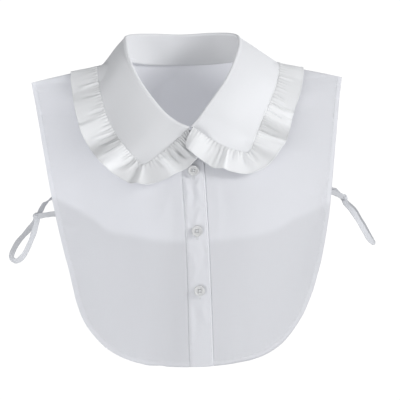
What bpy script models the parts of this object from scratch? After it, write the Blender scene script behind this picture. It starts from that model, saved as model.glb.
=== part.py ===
"""A false collar: a sleeveless cotton half blouse with a ruffled collar, worn.

The garment keeps the hollow form that it has on a figure. Lengths in the tables are
millimetres. X runs to the viewer's right, the front faces -Y and Z is up. The origin
is the middle of the neck at the height of the high shoulder points.
"""

import math

import bmesh
import bpy
from mathutils import Matrix, Vector
from mathutils.bvhtree import BVHTree

MM = 0.001

# Cloth and seams.
WALL = 1.1
SEAM_GAP = 0.3
LAP = WALL + SEAM_GAP

# Neck seam: an oval about the neck, low in front and a little low behind.
NECK_HALF_WIDTH = 66.0
NECK_FRONT_DEPTH = 61.0
NECK_BACK_DEPTH = 57.0
NECK_FRONT_DROP = 78.0
NECK_BACK_DROP = 8.0
NECK_FRONT_POWER = 1.15

# Shoulder seam: from the high shoulder point to the tip at the armhole.
TIP_HALF_WIDTH = 170.0
TIP_DEPTH = 6.0
# Half width, height.
SHOULDER_LINE = (
    (66.0, 0.0),
    (80.0, -6.0),
    (98.0, -11.6),
    (125.0, -16.2),
    (150.0, -21.4),
    (170.0, -26.0),
)

# Half of the room left between the panels at the neck end and the tip of that seam.
SEAM_ROOM_NECK = 0.65
SEAM_ROOM_TIP = 1.15

# How far below the shoulder seam a panel takes to turn from level to upright.
SHOULDER_TURN = 105.0
NECK_TURN = 12.0
TURN_POWER = 0.65
SIDE_POWER = 2.3

# The front hangs a little to the viewer's right, and its other half spreads a little low down.
FRONT_SWING = math.radians(1.2)
SWING_START = -70.0
SWING_FULL = -190.0
SPREAD = 11.0
SPREAD_HALF_WIDTH = 110.0
SPREAD_START = -215.0
SPREAD_FULL = -310.0

# Front centre line: height, depth.
FRONT_CENTRE = (
    (-60.0, -54.0),
    (-78.0, -61.0),
    (-105.0, -78.0),
    (-140.0, -93.0),
    (-180.0, -104.0),
    (-220.0, -109.0),
    (-270.0, -110.0),
    (-326.0, -107.0),
)

# Front side edge, from the shoulder tip down the armhole: height, half width, depth.
FRONT_SIDE = (
    (-26.0, 170.0, 6.0),
    (-34.0, 168.6, -4.0),
    (-50.0, 165.6, -13.0),
    (-89.0, 159.4, -27.0),
    (-127.0, 153.7, -38.0),
    (-166.0, 148.0, -43.0),
    (-204.0, 140.5, -47.0),
    (-230.0, 134.0, -50.0),
    (-255.0, 125.5, -55.0),
)

# Front hem, from the side to the centre: height, half width, depth.
FRONT_HEM = (
    (-255.0, 125.5, -55.0),
    (-280.0, 112.5, -65.0),
    (-303.0, 93.0, -80.0),
    (-315.0, 75.0, -91.0),
    (-321.5, 55.0, -99.0),
    (-325.0, 28.0, -105.0),
    (-326.0, 0.0, -107.0),
)

# Back centre line: height, depth.
BACK_CENTRE = (
    (-8.0, 57.0),
    (-40.0, 70.0),
    (-80.0, 81.0),
    (-130.0, 90.0),
    (-170.0, 92.0),
    (-208.0, 90.0),
)

# Back side edge, from the shoulder tip to the tie: height, half width, depth.
BACK_SIDE = (
    (-26.0, 170.0, 6.0),
    (-35.0, 168.3, 16.0),
    (-60.0, 163.5, 27.0),
    (-100.0, 157.0, 37.0),
    (-130.0, 152.5, 42.0),
    (-157.0, 148.0, 46.0),
)

# Back hem, from the tie to the centre: height, half width, depth.
BACK_HEM = (
    (-157.0, 148.0, 46.0),
    (-172.0, 132.0, 58.0),
    (-186.0, 112.0, 69.0),
    (-197.0, 88.0, 78.0),
    (-204.0, 58.0, 85.0),
    (-207.5, 28.0, 89.0),
    (-208.0, 0.0, 90.0),
)

# Share of a panel's top edge that is neck seam, the rest being shoulder seam.
NECK_SHARE = 0.45

# Button band, and the buttons on it from the neck down.
PLACKET_WIDTH = 24.0
BUTTON_DIAMETER = 11.5
BUTTON_THICKNESS = 2.4
BUTTON_HOLE = 1.5
BUTTON_HOLE_SPREAD = 1.6
BUTTON_HEIGHTS = (-89.0, -121.0, -183.0, -245.0)

# Collar. A row for each station from the front to the back of the neck:
# neck angle, fold x on the viewer's left, on the viewer's right, fold y, fold z.
COLLAR_FOLD = (
    (2.5, 4.0, 1.6, -61.0, -71.8),
    (30.0, 31.0, 31.0, -52.0, -53.0),
    (53.0, 50.0, 50.0, -35.0, -22.0),
    (74.0, 60.5, 60.5, -15.0, 2.0),
    (94.0, 64.0, 64.0, 6.0, 17.5),
    (116.0, 57.5, 57.5, 28.0, 25.0),
    (147.0, 34.0, 34.0, 50.0, 27.0),
    (180.0, 0.0, 0.0, 57.0, 27.0),
)
# Outer edge at the same stations: x, z on the viewer's left, x, z on the viewer's
# right, and y where the edge has left the front.
COLLAR_EDGE = (
    (51.0, -110.5, 60.5, -102.0, None),
    (70.0, -92.0, 72.0, -82.0, None),
    (86.0, -66.0, 82.5, -57.0, None),
    (96.5, -34.0, 95.5, -32.0, None),
    (98.5, -9.0, 100.0, -9.0, 7.0),
    (89.0, -15.0, 91.0, -15.0, 40.0),
    (53.0, -22.0, 53.0, -22.0, 64.0),
    (0.0, -25.0, 0.0, -25.0, 74.0),
)
COLLAR_ROLL = 2.4
COLLAR_LEAN = 3.5
COLLAR_LIFT = 4.2
COLLAR_CROWN = 3.0
COLLAR_FLAT = 0.5
COLLAR_CLEARANCE = 2.8
STAND_CROWN = 1.0
STAND_INSET = 1.7
CORNER_CUT = 0.42
COLLAR_ACROSS = 56
COLLAR_DOWN = 13

# Ruffle sewn to the collar's edge.
RUFFLE_WALL = 1.0
RUFFLE_ACROSS = 216
RUFFLE_DEPTH = 6.6
RUFFLE_PULL = 1.2
RUFFLE_UNDER_LIFT = 2.2
RUFFLE_LAP_LIFT = 4.6
RUFFLE_UNDER_SLANT = 0.34
RUFFLE_LAP_SLANT = -0.16
RUFFLE_TURN_REACH = 13.0
RUFFLE_CORNER_GAP = 0.5
RUFFLE_CLEARANCE = 2.4

# Place along the seam from the neck end, width of the ruffle on the viewer's left and right.
RUFFLE_WIDTHS = (
    (0.0, 29.0, 30.0),
    (60.0, 31.5, 32.0),
    (120.0, 32.0, 29.0),
    (180.0, 30.0, 27.5),
    (338.0, 28.0, 28.0),
)

# Flutes on the viewer's left, from the neck end to the middle of the back:
# place along the seam, share of the full depth.
FLUTES_LEFT = (
    (0.0, 0.35),
    (10.0, 0.20),
    (20.0, 0.75),
    (31.0, 0.10),
    (44.0, 0.80),
    (56.0, 0.25),
    (66.0, 1.00),
    (90.0, 0.05),
    (113.0, 1.00),
    (138.0, 0.10),
    (156.0, 0.60),
    (174.0, 0.15),
    (190.0, 0.30),
    (212.0, 0.05),
    (234.0, 0.60),
    (256.0, 0.10),
    (278.0, 0.80),
    (298.0, 0.05),
    (319.0, 0.75),
    (338.0, 0.20),
)
# The same on the viewer's right.
FLUTES_RIGHT = (
    (0.0, 0.40),
    (12.0, 0.75),
    (28.0, 0.05),
    (36.0, 0.60),
    (43.0, 0.25),
    (54.0, 0.80),
    (64.0, 0.90),
    (72.0, 0.15),
    (83.0, 1.00),
    (99.0, 0.05),
    (121.0, 1.00),
    (141.0, 0.10),
    (162.0, 0.60),
    (181.0, 0.10),
    (203.0, 0.30),
    (226.0, 0.05),
    (248.0, 0.60),
    (270.0, 0.10),
    (293.0, 0.90),
    (316.0, 0.10),
    (338.0, 0.20),
)

# Ties. Tape and knot, and a route for each stretch: x, y, z.
TAPE_WIDTH = 6.0
TAPE_THICKNESS = 1.2
KNOT_SIZE = (9.0, 10.0, 9.0)
KNOT_ROUNDNESS = 0.03
KNOT_GAP = 0.45

TIE_LEFT = {
    "knot": (-167.5, 1.0, -171.5),
    "to_back": (0.45, 0.85, 0.25),
    "to_front": (0.35, -0.93, 0.05),
    "to_loop_out": (-0.30, 0.38, -0.87),
    "to_loop_back": (0.05, -0.42, -0.90),
    "back": ((-145.5, 42.0, -153.0), (-152.0, 36.0, -155.0), (-159.0, 24.0, -160.0)),
    "front": ((-145.0, -40.5, -166.0), (-151.0, -33.0, -167.0), (-159.0, -19.0, -169.0)),
    "loop": (
        (-178.0, 4.5, -188.0),
        (-189.5, 4.5, -201.0),
        (-196.0, 3.0, -215.0),
        (-190.5, 0.5, -220.0),
        (-182.0, -2.0, -213.0),
        (-173.5, -3.0, -196.0),
    ),
}
TIE_RIGHT = {
    "knot": (170.0, 1.0, -158.5),
    "to_back": (-0.50, 0.84, 0.22),
    "to_front": (-0.42, -0.90, 0.12),
    "to_loop_out": (0.52, 0.30, -0.80),
    "to_loop_back": (0.44, -0.36, -0.82),
    "back": ((149.5, 42.0, -144.0), (155.0, 36.0, -146.5), (162.0, 24.0, -150.0)),
    "front": ((150.0, -38.5, -148.5), (154.5, -32.0, -150.0), (161.5, -19.0, -153.5)),
    "loop": (
        (182.0, 5.5, -173.0),
        (191.5, 5.0, -189.0),
        (199.0, 3.0, -203.5),
        (202.0, 0.0, -208.5),
        (197.0, -3.0, -204.0),
        (188.5, -4.5, -189.5),
        (179.0, -4.0, -173.5),
    ),
}


def smoothstep(value):
    """Ease a value from 0 to 1."""
    value = min(max(value, 0.0), 1.0)
    return value * value * (3.0 - 2.0 * value)


def table_value(rows, key_column, value_column, key):
    """Read one column of a table at a key, with a smooth curve through the rows."""
    count = len(rows)
    falling = rows[0][key_column] > rows[-1][key_column]
    sign = -1.0 if falling else 1.0
    keys = [sign * row[key_column] for row in rows]
    values = [row[value_column] for row in rows]
    key = min(max(sign * key, keys[0]), keys[-1])
    index = 0
    while index < count - 2 and key > keys[index + 1]:
        index += 1
    span = keys[index + 1] - keys[index]
    part = (key - keys[index]) / span

    def slope(at):
        low = max(at - 1, 0)
        high = min(at + 1, count - 1)
        return (values[high] - values[low]) / (keys[high] - keys[low])

    start, end = values[index], values[index + 1]
    first, last = slope(index) * span, slope(index + 1) * span
    square, cube = part * part, part ** 3
    return (
        start * (2 * cube - 3 * square + 1)
        + first * (cube - 2 * square + part)
        + end * (3 * square - 2 * cube)
        + last * (cube - square)
    )


def smooth_path(points, per_span=12):
    """Sample a smooth open curve through the given points."""
    samples = []
    last = len(points) - 1
    for index in range(last):
        before = points[max(index - 1, 0)]
        start = points[index]
        end = points[index + 1]
        after = points[min(index + 2, last)]
        for step in range(per_span):
            part = step / per_span
            samples.append(
                0.5
                * (
                    2 * start
                    + (end - before) * part
                    + (2 * before - 5 * start + 4 * end - after) * part ** 2
                    + (3 * start - before - 3 * end + after) * part ** 3
                )
            )
    samples.append(points[last].copy())
    return samples


class Path:
    """A curve that is read by the share of its length."""

    def __init__(self, points):
        self.points = points
        self.marks = [0.0]
        for start, end in zip(points, points[1:]):
            self.marks.append(self.marks[-1] + (end - start).length)
        self.length = self.marks[-1]

    def at(self, share):
        """Give the point at a share of the length from 0 to 1."""
        target = min(max(share, 0.0), 1.0) * self.length
        low, high = 0, len(self.marks) - 1
        while high - low > 1:
            middle = (low + high) // 2
            if self.marks[middle] <= target:
                low = middle
            else:
                high = middle
        span = self.marks[high] - self.marks[low]
        part = (target - self.marks[low]) / span if span else 0.0
        return self.points[low].lerp(self.points[high], part)


def neck_point(angle, side=1.0):
    """Give the neck seam at an angle in degrees, 0 in front and 180 behind."""
    turn = math.radians(angle)
    x = NECK_HALF_WIDTH * math.sin(turn)
    cosine = math.cos(turn)
    if cosine > 0.0:
        y = -NECK_FRONT_DEPTH * cosine
        z = -NECK_FRONT_DROP * cosine ** NECK_FRONT_POWER
    else:
        y = -NECK_BACK_DEPTH * cosine
        z = -NECK_BACK_DROP * cosine * cosine
    return Vector((side * x, y, z))


def shoulder_point(share):
    """Give the shoulder seam from the high shoulder point, 0, to the tip, 1."""
    x = NECK_HALF_WIDTH + (TIP_HALF_WIDTH - NECK_HALF_WIDTH) * share
    return Vector((x, TIP_DEPTH * share, table_value(SHOULDER_LINE, 0, 1, x)))


def top_edge(share, front, start_angle):
    """Give a panel's top edge, the neck seam and then the shoulder seam."""
    if share < NECK_SHARE:
        angle = start_angle + (90.0 - start_angle) * share / NECK_SHARE
        return neck_point(angle if front else 180.0 - angle)
    return shoulder_point((share - NECK_SHARE) / (1.0 - NECK_SHARE))


def top_at(x, front):
    """Give the height and depth of the top edge above a half width."""
    if x < NECK_HALF_WIDTH:
        angle = math.degrees(math.asin(max(x, 0.0) / NECK_HALF_WIDTH))
        point = neck_point(angle if front else 180.0 - angle)
    else:
        point = shoulder_point((x - NECK_HALF_WIDTH) / (TIP_HALF_WIDTH - NECK_HALF_WIDTH))
    return point.z, point.y


def panel_depth(x, z, front):
    """Give the depth of the front or back surface at a half width and height."""
    centre, side, hem = (
        (FRONT_CENTRE, FRONT_SIDE, FRONT_HEM) if front else (BACK_CENTRE, BACK_SIDE, BACK_HEM)
    )
    x = abs(x)
    middle = table_value(centre, 0, 1, z)
    rim = side if z > side[-1][0] else hem[:-1]
    half_width = max(table_value(rim, 0, 1, z), 1.0)
    edge = table_value(rim, 0, 2, z)
    full = middle + (edge - middle) * min(x / half_width, 1.2) ** SIDE_POWER
    top_z, top_y = top_at(x, front)
    below = max(top_z - z, 0.0)
    turn = NECK_TURN + (SHOULDER_TURN - NECK_TURN) * smoothstep(x / NECK_HALF_WIDTH)
    turned = math.sin(0.5 * math.pi * min(below / turn, 1.0) ** TURN_POWER)
    outward = smoothstep((x - NECK_HALF_WIDTH) / (TIP_HALF_WIDTH - NECK_HALF_WIDTH))
    room = SEAM_ROOM_NECK + (SEAM_ROOM_TIP - SEAM_ROOM_NECK) * outward
    room *= smoothstep(x / NECK_HALF_WIDTH) * (1.0 - turned)
    return top_y + (full - top_y) * turned + (-room if front else room)


def hang(point):
    """Swing the lower front a little about the neck and spread its viewer's left half."""
    share = smoothstep((SWING_START - point.z) / (SWING_START - SWING_FULL))
    angle = FRONT_SWING * share
    drop = point.z + NECK_FRONT_DROP
    low = smoothstep((SPREAD_START - point.z) / (SPREAD_START - SPREAD_FULL))
    spread = SPREAD * low * min(point.x, 0.0) / SPREAD_HALF_WIDTH
    return Vector(
        (
            point.x + spread - math.sin(angle) * drop,
            point.y,
            point.z + math.sin(angle) * point.x,
        )
    )


def front_surface(x, z):
    """Give the front of the garment at a width and height."""
    return hang(Vector((x, panel_depth(x, z, True), z)))


def front_raised(x, z, lift):
    """Give a point above the front, on the side away from the wearer."""
    point = front_surface(x, z)
    across = front_surface(x + 1.0, z) - front_surface(x - 1.0, z)
    upward = front_surface(x, z + 1.0) - front_surface(x, z - 1.0)
    return point + across.cross(upward).normalized() * lift


def coons(top, bottom, centre, side, u, v):
    """Blend four edge points of a panel into the point at shares u and v."""
    top_start, top_end = top(0.0), top(1.0)
    low_start, low_end = bottom(0.0), bottom(1.0)
    return (
        top(u) * (1 - v)
        + bottom(u) * v
        + centre(v) * (1 - u)
        + side(v) * u
        - top_start * (1 - u) * (1 - v)
        - top_end * u * (1 - v)
        - low_start * (1 - u) * v
        - low_end * u * v
    )


def rim_path(rows):
    """Make a smooth path through a side or hem table."""
    return Path(smooth_path([Vector((row[1], row[2], row[0])) for row in rows]))


def panel_outline(front, inner_x):
    """Give the function that places a half panel's outline in width and height."""
    side_rows = FRONT_SIDE if front else BACK_SIDE
    hem_rows = FRONT_HEM if front else BACK_HEM
    side_path = rim_path(side_rows)
    hem_path = rim_path(tuple(reversed(hem_rows)))
    start_angle = math.degrees(math.asin(inner_x / NECK_HALF_WIDTH))
    hem_start = 0.0
    while hem_path.at(hem_start).x < inner_x:
        hem_start += 0.001

    def hem(u):
        return hem_path.at(hem_start + (1.0 - hem_start) * u)

    def top(u):
        return top_edge(u, front, start_angle)

    def centre(v):
        return top(0.0).lerp(hem(0.0), v)

    def place(u, v):
        return coons(top, hem, centre, side_path.at, u, v)

    return place


def clear_previous():
    """Remove what the scene holds."""
    for item in list(bpy.data.objects):
        bpy.data.objects.remove(item, do_unlink=True)


def make_material(name, colour, roughness):
    """Make a plain Principled material."""
    material = bpy.data.materials.new(name)
    material.use_nodes = True
    shader = material.node_tree.nodes["Principled BSDF"]
    shader.inputs["Base Color"].default_value = (*colour, 1.0)
    shader.inputs["Roughness"].default_value = roughness
    shader.inputs["Metallic"].default_value = 0.0
    return material


def add_object(name, mesh, collection, material):
    """Link a mesh to a collection as a named object with its material."""
    item = bpy.data.objects.new(name, mesh)
    collection.objects.link(item)
    mesh.materials.clear()
    mesh.materials.append(material)
    mesh.shade_smooth()
    return item


def grid_mesh(name, across, down, place):
    """Shape a flat grid by a function of its shares across and down."""
    work = bmesh.new()
    bmesh.ops.create_grid(work, x_segments=across, y_segments=down, size=0.5)
    for vertex in work.verts:
        u, v = vertex.co.x + 0.5, 0.5 - vertex.co.y
        vertex.co = place(u, v) * MM
    mesh = bpy.data.meshes.new(name)
    work.to_mesh(mesh)
    work.free()
    return mesh


def cloth(name, across, down, place, collection, material, wall=WALL):
    """Make a cloth piece: an open surface with a wall on its inner side."""
    item = add_object(name, grid_mesh(name, across, down, place), collection, material)
    thick = item.modifiers.new("wall", "SOLIDIFY")
    thick.thickness = wall * MM
    thick.offset = -1.0
    thick.use_even_offset = False
    return item


def make_panels(collection, material):
    """Make the two front panels and the back panel."""
    inner = PLACKET_WIDTH / 2 + SEAM_GAP
    outline = panel_outline(True, inner)

    def near_side(u, v):
        spot = outline(u, v ** 1.25)
        return front_raised(spot.x, spot.z, 0.0)

    def lapped_side(u, v):
        spot = outline(1.0 - u, v ** 1.25)
        return front_raised(-spot.x, spot.z, LAP * (1.0 - smoothstep(1.0 - u)))

    cloth("front_left_panel", 17, 22, near_side, collection, material)
    cloth("front_right_panel", 17, 22, lapped_side, collection, material)

    half = panel_outline(False, 0.001)

    def back(u, v):
        share = abs(2.0 * u - 1.0)
        side = 1.0 if u < 0.5 else -1.0
        spot = half(share, v ** 1.25)
        return Vector((side * spot.x, panel_depth(spot.x, spot.z, False), spot.z))

    cloth("back_panel", 32, 14, back, collection, material)


def placket_surface(lift):
    """Give the function that places a button band above the front."""
    half = PLACKET_WIDTH / 2
    hem = rim_path(FRONT_HEM)

    def place(u, v):
        x = half * (2.0 * u - 1.0)
        angle = math.degrees(math.asin(abs(x) / NECK_HALF_WIDTH))
        top = neck_point(angle).z
        low = hem.at(1.0).z + 0.4 * (abs(x) / half) ** 2
        return front_raised(x, top + (low - top) * v, lift)

    return place


def make_plackets(collection, material):
    """Make the lower and the upper button band."""
    cloth("under_placket", 4, 26, placket_surface(0.0), collection, material)
    cloth("top_placket", 4, 26, placket_surface(LAP), collection, material)


def button_mesh():
    """Turn a button with a raised rim and four holes."""
    radius = BUTTON_DIAMETER / 2
    thick = BUTTON_THICKNESS
    profile = (
        (0.0, thick * 0.72),
        (radius * 0.62, thick * 0.72),
        (radius * 0.78, thick),
        (radius * 0.93, thick * 0.92),
        (radius, thick * 0.55),
        (radius * 0.86, thick * 0.12),
        (radius * 0.6, 0.0),
        (0.0, 0.0),
    )
    mesh = bpy.data.meshes.new("button_profile")
    points = [(x * MM, 0.0, z * MM) for x, z in profile]
    mesh.from_pydata(points, [(i, i + 1) for i in range(len(points) - 1)], [])
    blank = bpy.data.objects.new("button_blank", mesh)
    bpy.context.scene.collection.objects.link(blank)
    turn = blank.modifiers.new("turn", "SCREW")
    turn.steps = turn.render_steps = 22
    turn.use_merge_vertices = True
    turn.merge_threshold = 0.00001
    cutters = []
    for index in range(4):
        angle = math.radians(45 + 90 * index)
        place = (
            BUTTON_HOLE_SPREAD * math.cos(angle) * MM,
            BUTTON_HOLE_SPREAD * math.sin(angle) * MM,
            0.5 * thick * MM,
        )
        work = bmesh.new()
        bmesh.ops.create_cone(
            work,
            cap_ends=True,
            segments=8,
            radius1=0.5 * BUTTON_HOLE * MM,
            radius2=0.5 * BUTTON_HOLE * MM,
            depth=3.0 * thick * MM,
            matrix=Matrix.Translation(place),
        )
        hole = bpy.data.meshes.new(f"button_hole_{index}")
        work.to_mesh(hole)
        work.free()
        cutter = bpy.data.objects.new(f"button_hole_{index}", hole)
        bpy.data.collections["cutters"].objects.link(cutter)
        cutter.hide_render = True
        cutter.display_type = "WIRE"
        cutters.append(cutter)
        cut = blank.modifiers.new(f"hole_{index}", "BOOLEAN")
        cut.operation = "DIFFERENCE"
        cut.object = cutter
    bpy.context.view_layer.update()
    graph = bpy.context.evaluated_depsgraph_get()
    result = bpy.data.meshes.new_from_object(blank.evaluated_get(graph))
    bpy.data.objects.remove(blank, do_unlink=True)
    result.name = "button"
    return result


def make_buttons(collection, material):
    """Set the buttons on the upper band."""
    mesh = button_mesh()
    names = ("neck_button", "button_1", "button_2", "button_3")
    for name, height in zip(names, BUTTON_HEIGHTS):
        seat = front_raised(0.0, height, LAP)
        out = (front_raised(0.0, height, LAP + 1.0) - seat).normalized()
        item = bpy.data.objects.new(name, mesh)
        collection.objects.link(item)
        item.location = (seat + out * SEAM_GAP) * MM
        item.rotation_mode = "QUATERNION"
        item.rotation_quaternion = out.to_track_quat("Z", "Y")
    mesh.materials.clear()
    mesh.materials.append(material)
    mesh.shade_smooth()
    mesh.set_sharp_from_angle(angle=math.radians(40))


def collar_stations(side):
    """Give one half of the collar as lists of base, fold and edge points."""
    base, fold, edge = [], [], []
    for fold_row, edge_row in zip(COLLAR_FOLD, COLLAR_EDGE):
        angle, left_fold, right_fold, y, z = fold_row
        left_x, left_z, right_x, right_z, back_y = edge_row
        foot = neck_point(angle, side) * (1.0 - STAND_INSET / NECK_HALF_WIDTH)
        foot.z = neck_point(angle).z + SEAM_GAP
        base.append(foot)
        lean = COLLAR_LEAN * smoothstep((z + 72.0) / 80.0)
        x = left_fold if side < 0 else right_fold
        fold.append(Vector((side * x - lean, y, z)))
        edge_x = left_x if side < 0 else right_x
        edge_z = left_z if side < 0 else right_z
        if back_y is None:
            edge.append(front_raised(side * edge_x, edge_z, COLLAR_LIFT))
        else:
            edge.append(Vector((side * edge_x, back_y, edge_z)))
    return base, fold, edge


def collar_curves():
    """Join both halves of the collar into curves from the viewer's left end."""
    left = collar_stations(-1.0)
    right = collar_stations(1.0)
    curves = []
    for near, far in zip(left, right):
        points = near[:-1] + [(near[-1] + far[-1]) * 0.5] + list(reversed(far[:-1]))
        curves.append(smooth_path(points, 16))
    return curves


class Collar:
    """The one-piece collar: a stand, the roll at its top and the fall."""

    stand_share = 0.26
    roll_share = 0.38

    def __init__(self):
        self.base, self.fold, self.edge = collar_curves()
        self.last = len(self.fold) - 1

    def read(self, curve, share):
        """Read a curve at a share of its stations."""
        place = min(max(share, 0.0), 1.0) * self.last
        index = min(int(place), self.last - 1)
        return curve[index].lerp(curve[index + 1], place - index)

    def at(self, share, down):
        """Give the outer surface, down 0 at the neck seam and 1 at the edge."""
        base = self.read(self.base, share)
        fold = self.read(self.fold, share)
        edge = self.read(self.edge, share)
        step = 0.5 / self.last
        tangent = self.read(self.fold, share + step) - self.read(self.fold, share - step)
        tangent.normalize()
        up = Vector((0.0, 0.0, 1.0))
        up = (up - tangent * up.dot(tangent)).normalized()
        out = tangent.cross(up)
        if out.dot(edge - fold) < 0.0:
            out.negate()
        centre = fold - up * COLLAR_ROLL
        inner = centre - out * COLLAR_ROLL
        outer = centre + out * COLLAR_ROLL
        if down <= self.stand_share:
            part = down / self.stand_share
            crown = math.sin(math.pi * part) * STAND_CROWN
            return base.lerp(inner, part) + out * crown
        if down <= self.roll_share:
            part = (down - self.stand_share) / (self.roll_share - self.stand_share)
            angle = math.pi * (1.0 - part)
            return centre + (out * math.cos(angle) + up * math.sin(angle)) * COLLAR_ROLL
        part = (down - self.roll_share) / (1.0 - self.roll_share)
        crown = math.sin(math.pi * part ** 0.8) * COLLAR_CROWN
        crown *= 1.0 - (1.0 - COLLAR_FLAT) * smoothstep((edge.z + 60.0) / 40.0)
        return outer.lerp(edge, part) + (out + up * 0.3).normalized() * crown


def collar_point(collar, tree, share, down):
    """Give the finished collar surface, rounded at its corners and off the panels."""
    spot = rounded(collar, share, down)
    if down <= collar.roll_share:
        return spot
    return kept_clear(spot, tree, COLLAR_CLEARANCE)


def rounded(collar, share, down):
    """Round the collar's two front corners."""
    end = min(share, 1.0 - share) * 60.0
    low = (1.0 - down) * 12.0
    near = max(0.0, 1.0 - end) * max(0.0, 1.0 - low)
    if near > 0.0:
        shift = CORNER_CUT * near
        inward = shift / 60.0
        share = share + inward * 2.0 if share < 0.5 else share - inward * 2.0
        down = down - shift / 12.0
    return collar.at(share, down)


def make_collar(collection, material, tree):
    """Make the collar and return its surface."""
    collar = Collar()

    def place(u, v):
        return collar_point(collar, tree, 1.0 - u, v)

    cloth("collar", COLLAR_ACROSS, COLLAR_DOWN, place, collection, material)
    return collar


def cloth_tree(collection, names):
    """Make one search tree of the outer surfaces of the named pieces."""
    points, faces = [], []
    for name in names:
        mesh = collection.objects[name].data
        start = len(points)
        points.extend(vertex.co / MM for vertex in mesh.vertices)
        faces.extend([start + i for i in face.vertices] for face in mesh.polygons)
    return BVHTree.FromPolygons(points, faces)


def kept_clear(point, tree, gap):
    """Move a point out until it has the given gap to the cloth below it."""
    place, normal, _, _ = tree.find_nearest(point)
    height = (point - place).dot(normal)
    if height < gap:
        return point + normal * (gap - height)
    return point


def seam_path(collar, tree):
    """Follow the collar's edge from one neck end round to the other."""
    rows = range(math.ceil(collar.roll_share * COLLAR_DOWN), COLLAR_DOWN)
    downs = [row / COLLAR_DOWN for row in rows]
    places = [(0.0, down) for down in downs]
    places += [(step / COLLAR_ACROSS, 1.0) for step in range(COLLAR_ACROSS + 1)]
    places += [(1.0, down) for down in reversed(downs)]
    return Path([collar_point(collar, tree, share, down) for share, down in places])


def flute_height(share, length):
    """Give the height of the ruffle's flutes at a share of the seam."""
    flutes = FLUTES_LEFT if share < 0.5 else FLUTES_RIGHT
    place = min(share, 1.0 - share) * length
    for (start, low), (end, high) in zip(flutes, flutes[1:]):
        if place <= end:
            return low + (high - low) * smoothstep((place - start) / (end - start))
    return flutes[-1][1]


def make_ruffle(collection, material, collar, tree):
    """Make the gathered ruffle along the collar's edge."""
    path = seam_path(collar, tree)
    step = RUFFLE_TURN_REACH / path.length

    def frame_at(share):
        point = path.at(share)
        ahead = path.at(share + step) - point
        behind = point - path.at(share - step)
        bend = ahead.angle(behind, 0.0)
        tangent = (ahead.normalized() + behind.normalized()).normalized()
        _, normal, _, _ = tree.find_nearest(point)
        away = normal.cross(tangent).normalized()
        return point, bend, away, normal

    def place(u, v):
        share = 1.0 - u
        point, bend, away, normal = frame_at(share)
        toward_end = min(share, 1.0 - share) * path.length
        ease = smoothstep(toward_end / 22.0)
        width = table_value(RUFFLE_WIDTHS, 0, 2 if share > 0.5 else 1, toward_end)
        if ease < 1.0:
            slant = RUFFLE_LAP_SLANT if share > 0.5 else RUFFLE_UNDER_SLANT
            plumb = Vector((slant, 0.0, -1.0))
            plumb = (plumb - normal * plumb.dot(normal)).normalized()
            away = away.lerp(plumb, 0.75 * (1.0 - ease)).normalized()
        wave = flute_height(share, path.length)
        swell = v ** 1.1 * smoothstep(0.15 + toward_end / 14.0)
        width -= RUFFLE_PULL * wave * v
        lift = RUFFLE_DEPTH * swell * wave
        lap = (RUFFLE_LAP_LIFT if share > 0.5 else RUFFLE_UNDER_LIFT) * (
            1.0 - smoothstep((toward_end - 8.0) / 26.0)
        )
        gap = SEAM_GAP + RUFFLE_CORNER_GAP * bend
        spot = point + away * (gap + width * v) + normal * (lift + lap)
        return kept_clear(spot, tree, RUFFLE_CLEARANCE + lap)

    return cloth("ruffle", RUFFLE_ACROSS, 4, place, collection, material, RUFFLE_WALL)


def tape(name, points, facing, collection, material):
    """Make a flat tape along a route, its flat side towards the facing vector."""
    path = Path(smooth_path([Vector(point) for point in points], 10))
    pieces = max(6, int(path.length / 4.5))
    step = 1.5 / path.length

    def place(u, v):
        point = path.at(u)
        tangent = (path.at(u + step) - path.at(u - step)).normalized()
        across = tangent.cross(facing).normalized()
        normal = across.cross(tangent).normalized()
        return point + across * TAPE_WIDTH * (0.5 - v) + normal * TAPE_THICKNESS * 0.5

    return cloth(name, pieces, 1, place, collection, material, TAPE_THICKNESS)


def knot_exit(knot, direction):
    """Give the point just off the knot in a direction from its middle."""
    way = Vector(direction).normalized()
    reach = 1.0 / math.sqrt(sum((way[i] / (0.5 * KNOT_SIZE[i])) ** 2 for i in range(3)))
    return knot + way * (reach * (1.0 + KNOT_ROUNDNESS) + KNOT_GAP)


def make_ties(collection, material):
    """Make a knotted tie at each side, with a loop that hangs from its knot."""
    for side, word, tie in ((1.0, "left", TIE_RIGHT), (-1.0, "right", TIE_LEFT)):
        knot = Vector(tie["knot"])
        flat_side = Vector((side * 1.0, -0.35, 0.25)).normalized()
        loop_side = Vector((side * 0.35, -1.0, 0.1)).normalized()
        loop_start = (knot_exit(knot, tie["to_loop_out"]),)
        loop_end = (knot_exit(knot, tie["to_loop_back"]),)
        stretches = (
            ("tie_back", tie["back"] + (knot_exit(knot, tie["to_back"]),), flat_side),
            ("tie_front", tie["front"] + (knot_exit(knot, tie["to_front"]),), flat_side),
            ("tie_loop", loop_start + tie["loop"] + loop_end, loop_side),
        )
        for name, route, facing in stretches:
            tape(f"{name}_{word}", route, facing, collection, material)
        make_knot(f"tie_knot_{word}", knot, collection, material)


def make_knot(name, place, collection, material):
    """Make the rounded lump of an overhand knot."""
    work = bmesh.new()
    bmesh.ops.create_uvsphere(work, u_segments=12, v_segments=8, radius=0.5)
    for vertex in work.verts:
        turn = 3.0 * math.atan2(vertex.co.y, vertex.co.x) + 9.0 * vertex.co.z
        swell = 1.0 + KNOT_ROUNDNESS * math.sin(turn)
        scaled = Vector([vertex.co[i] * KNOT_SIZE[i] for i in range(3)]) * swell
        vertex.co = (scaled + place) * MM
    mesh = bpy.data.meshes.new(name)
    work.to_mesh(mesh)
    work.free()
    return add_object(name, mesh, collection, material)


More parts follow.
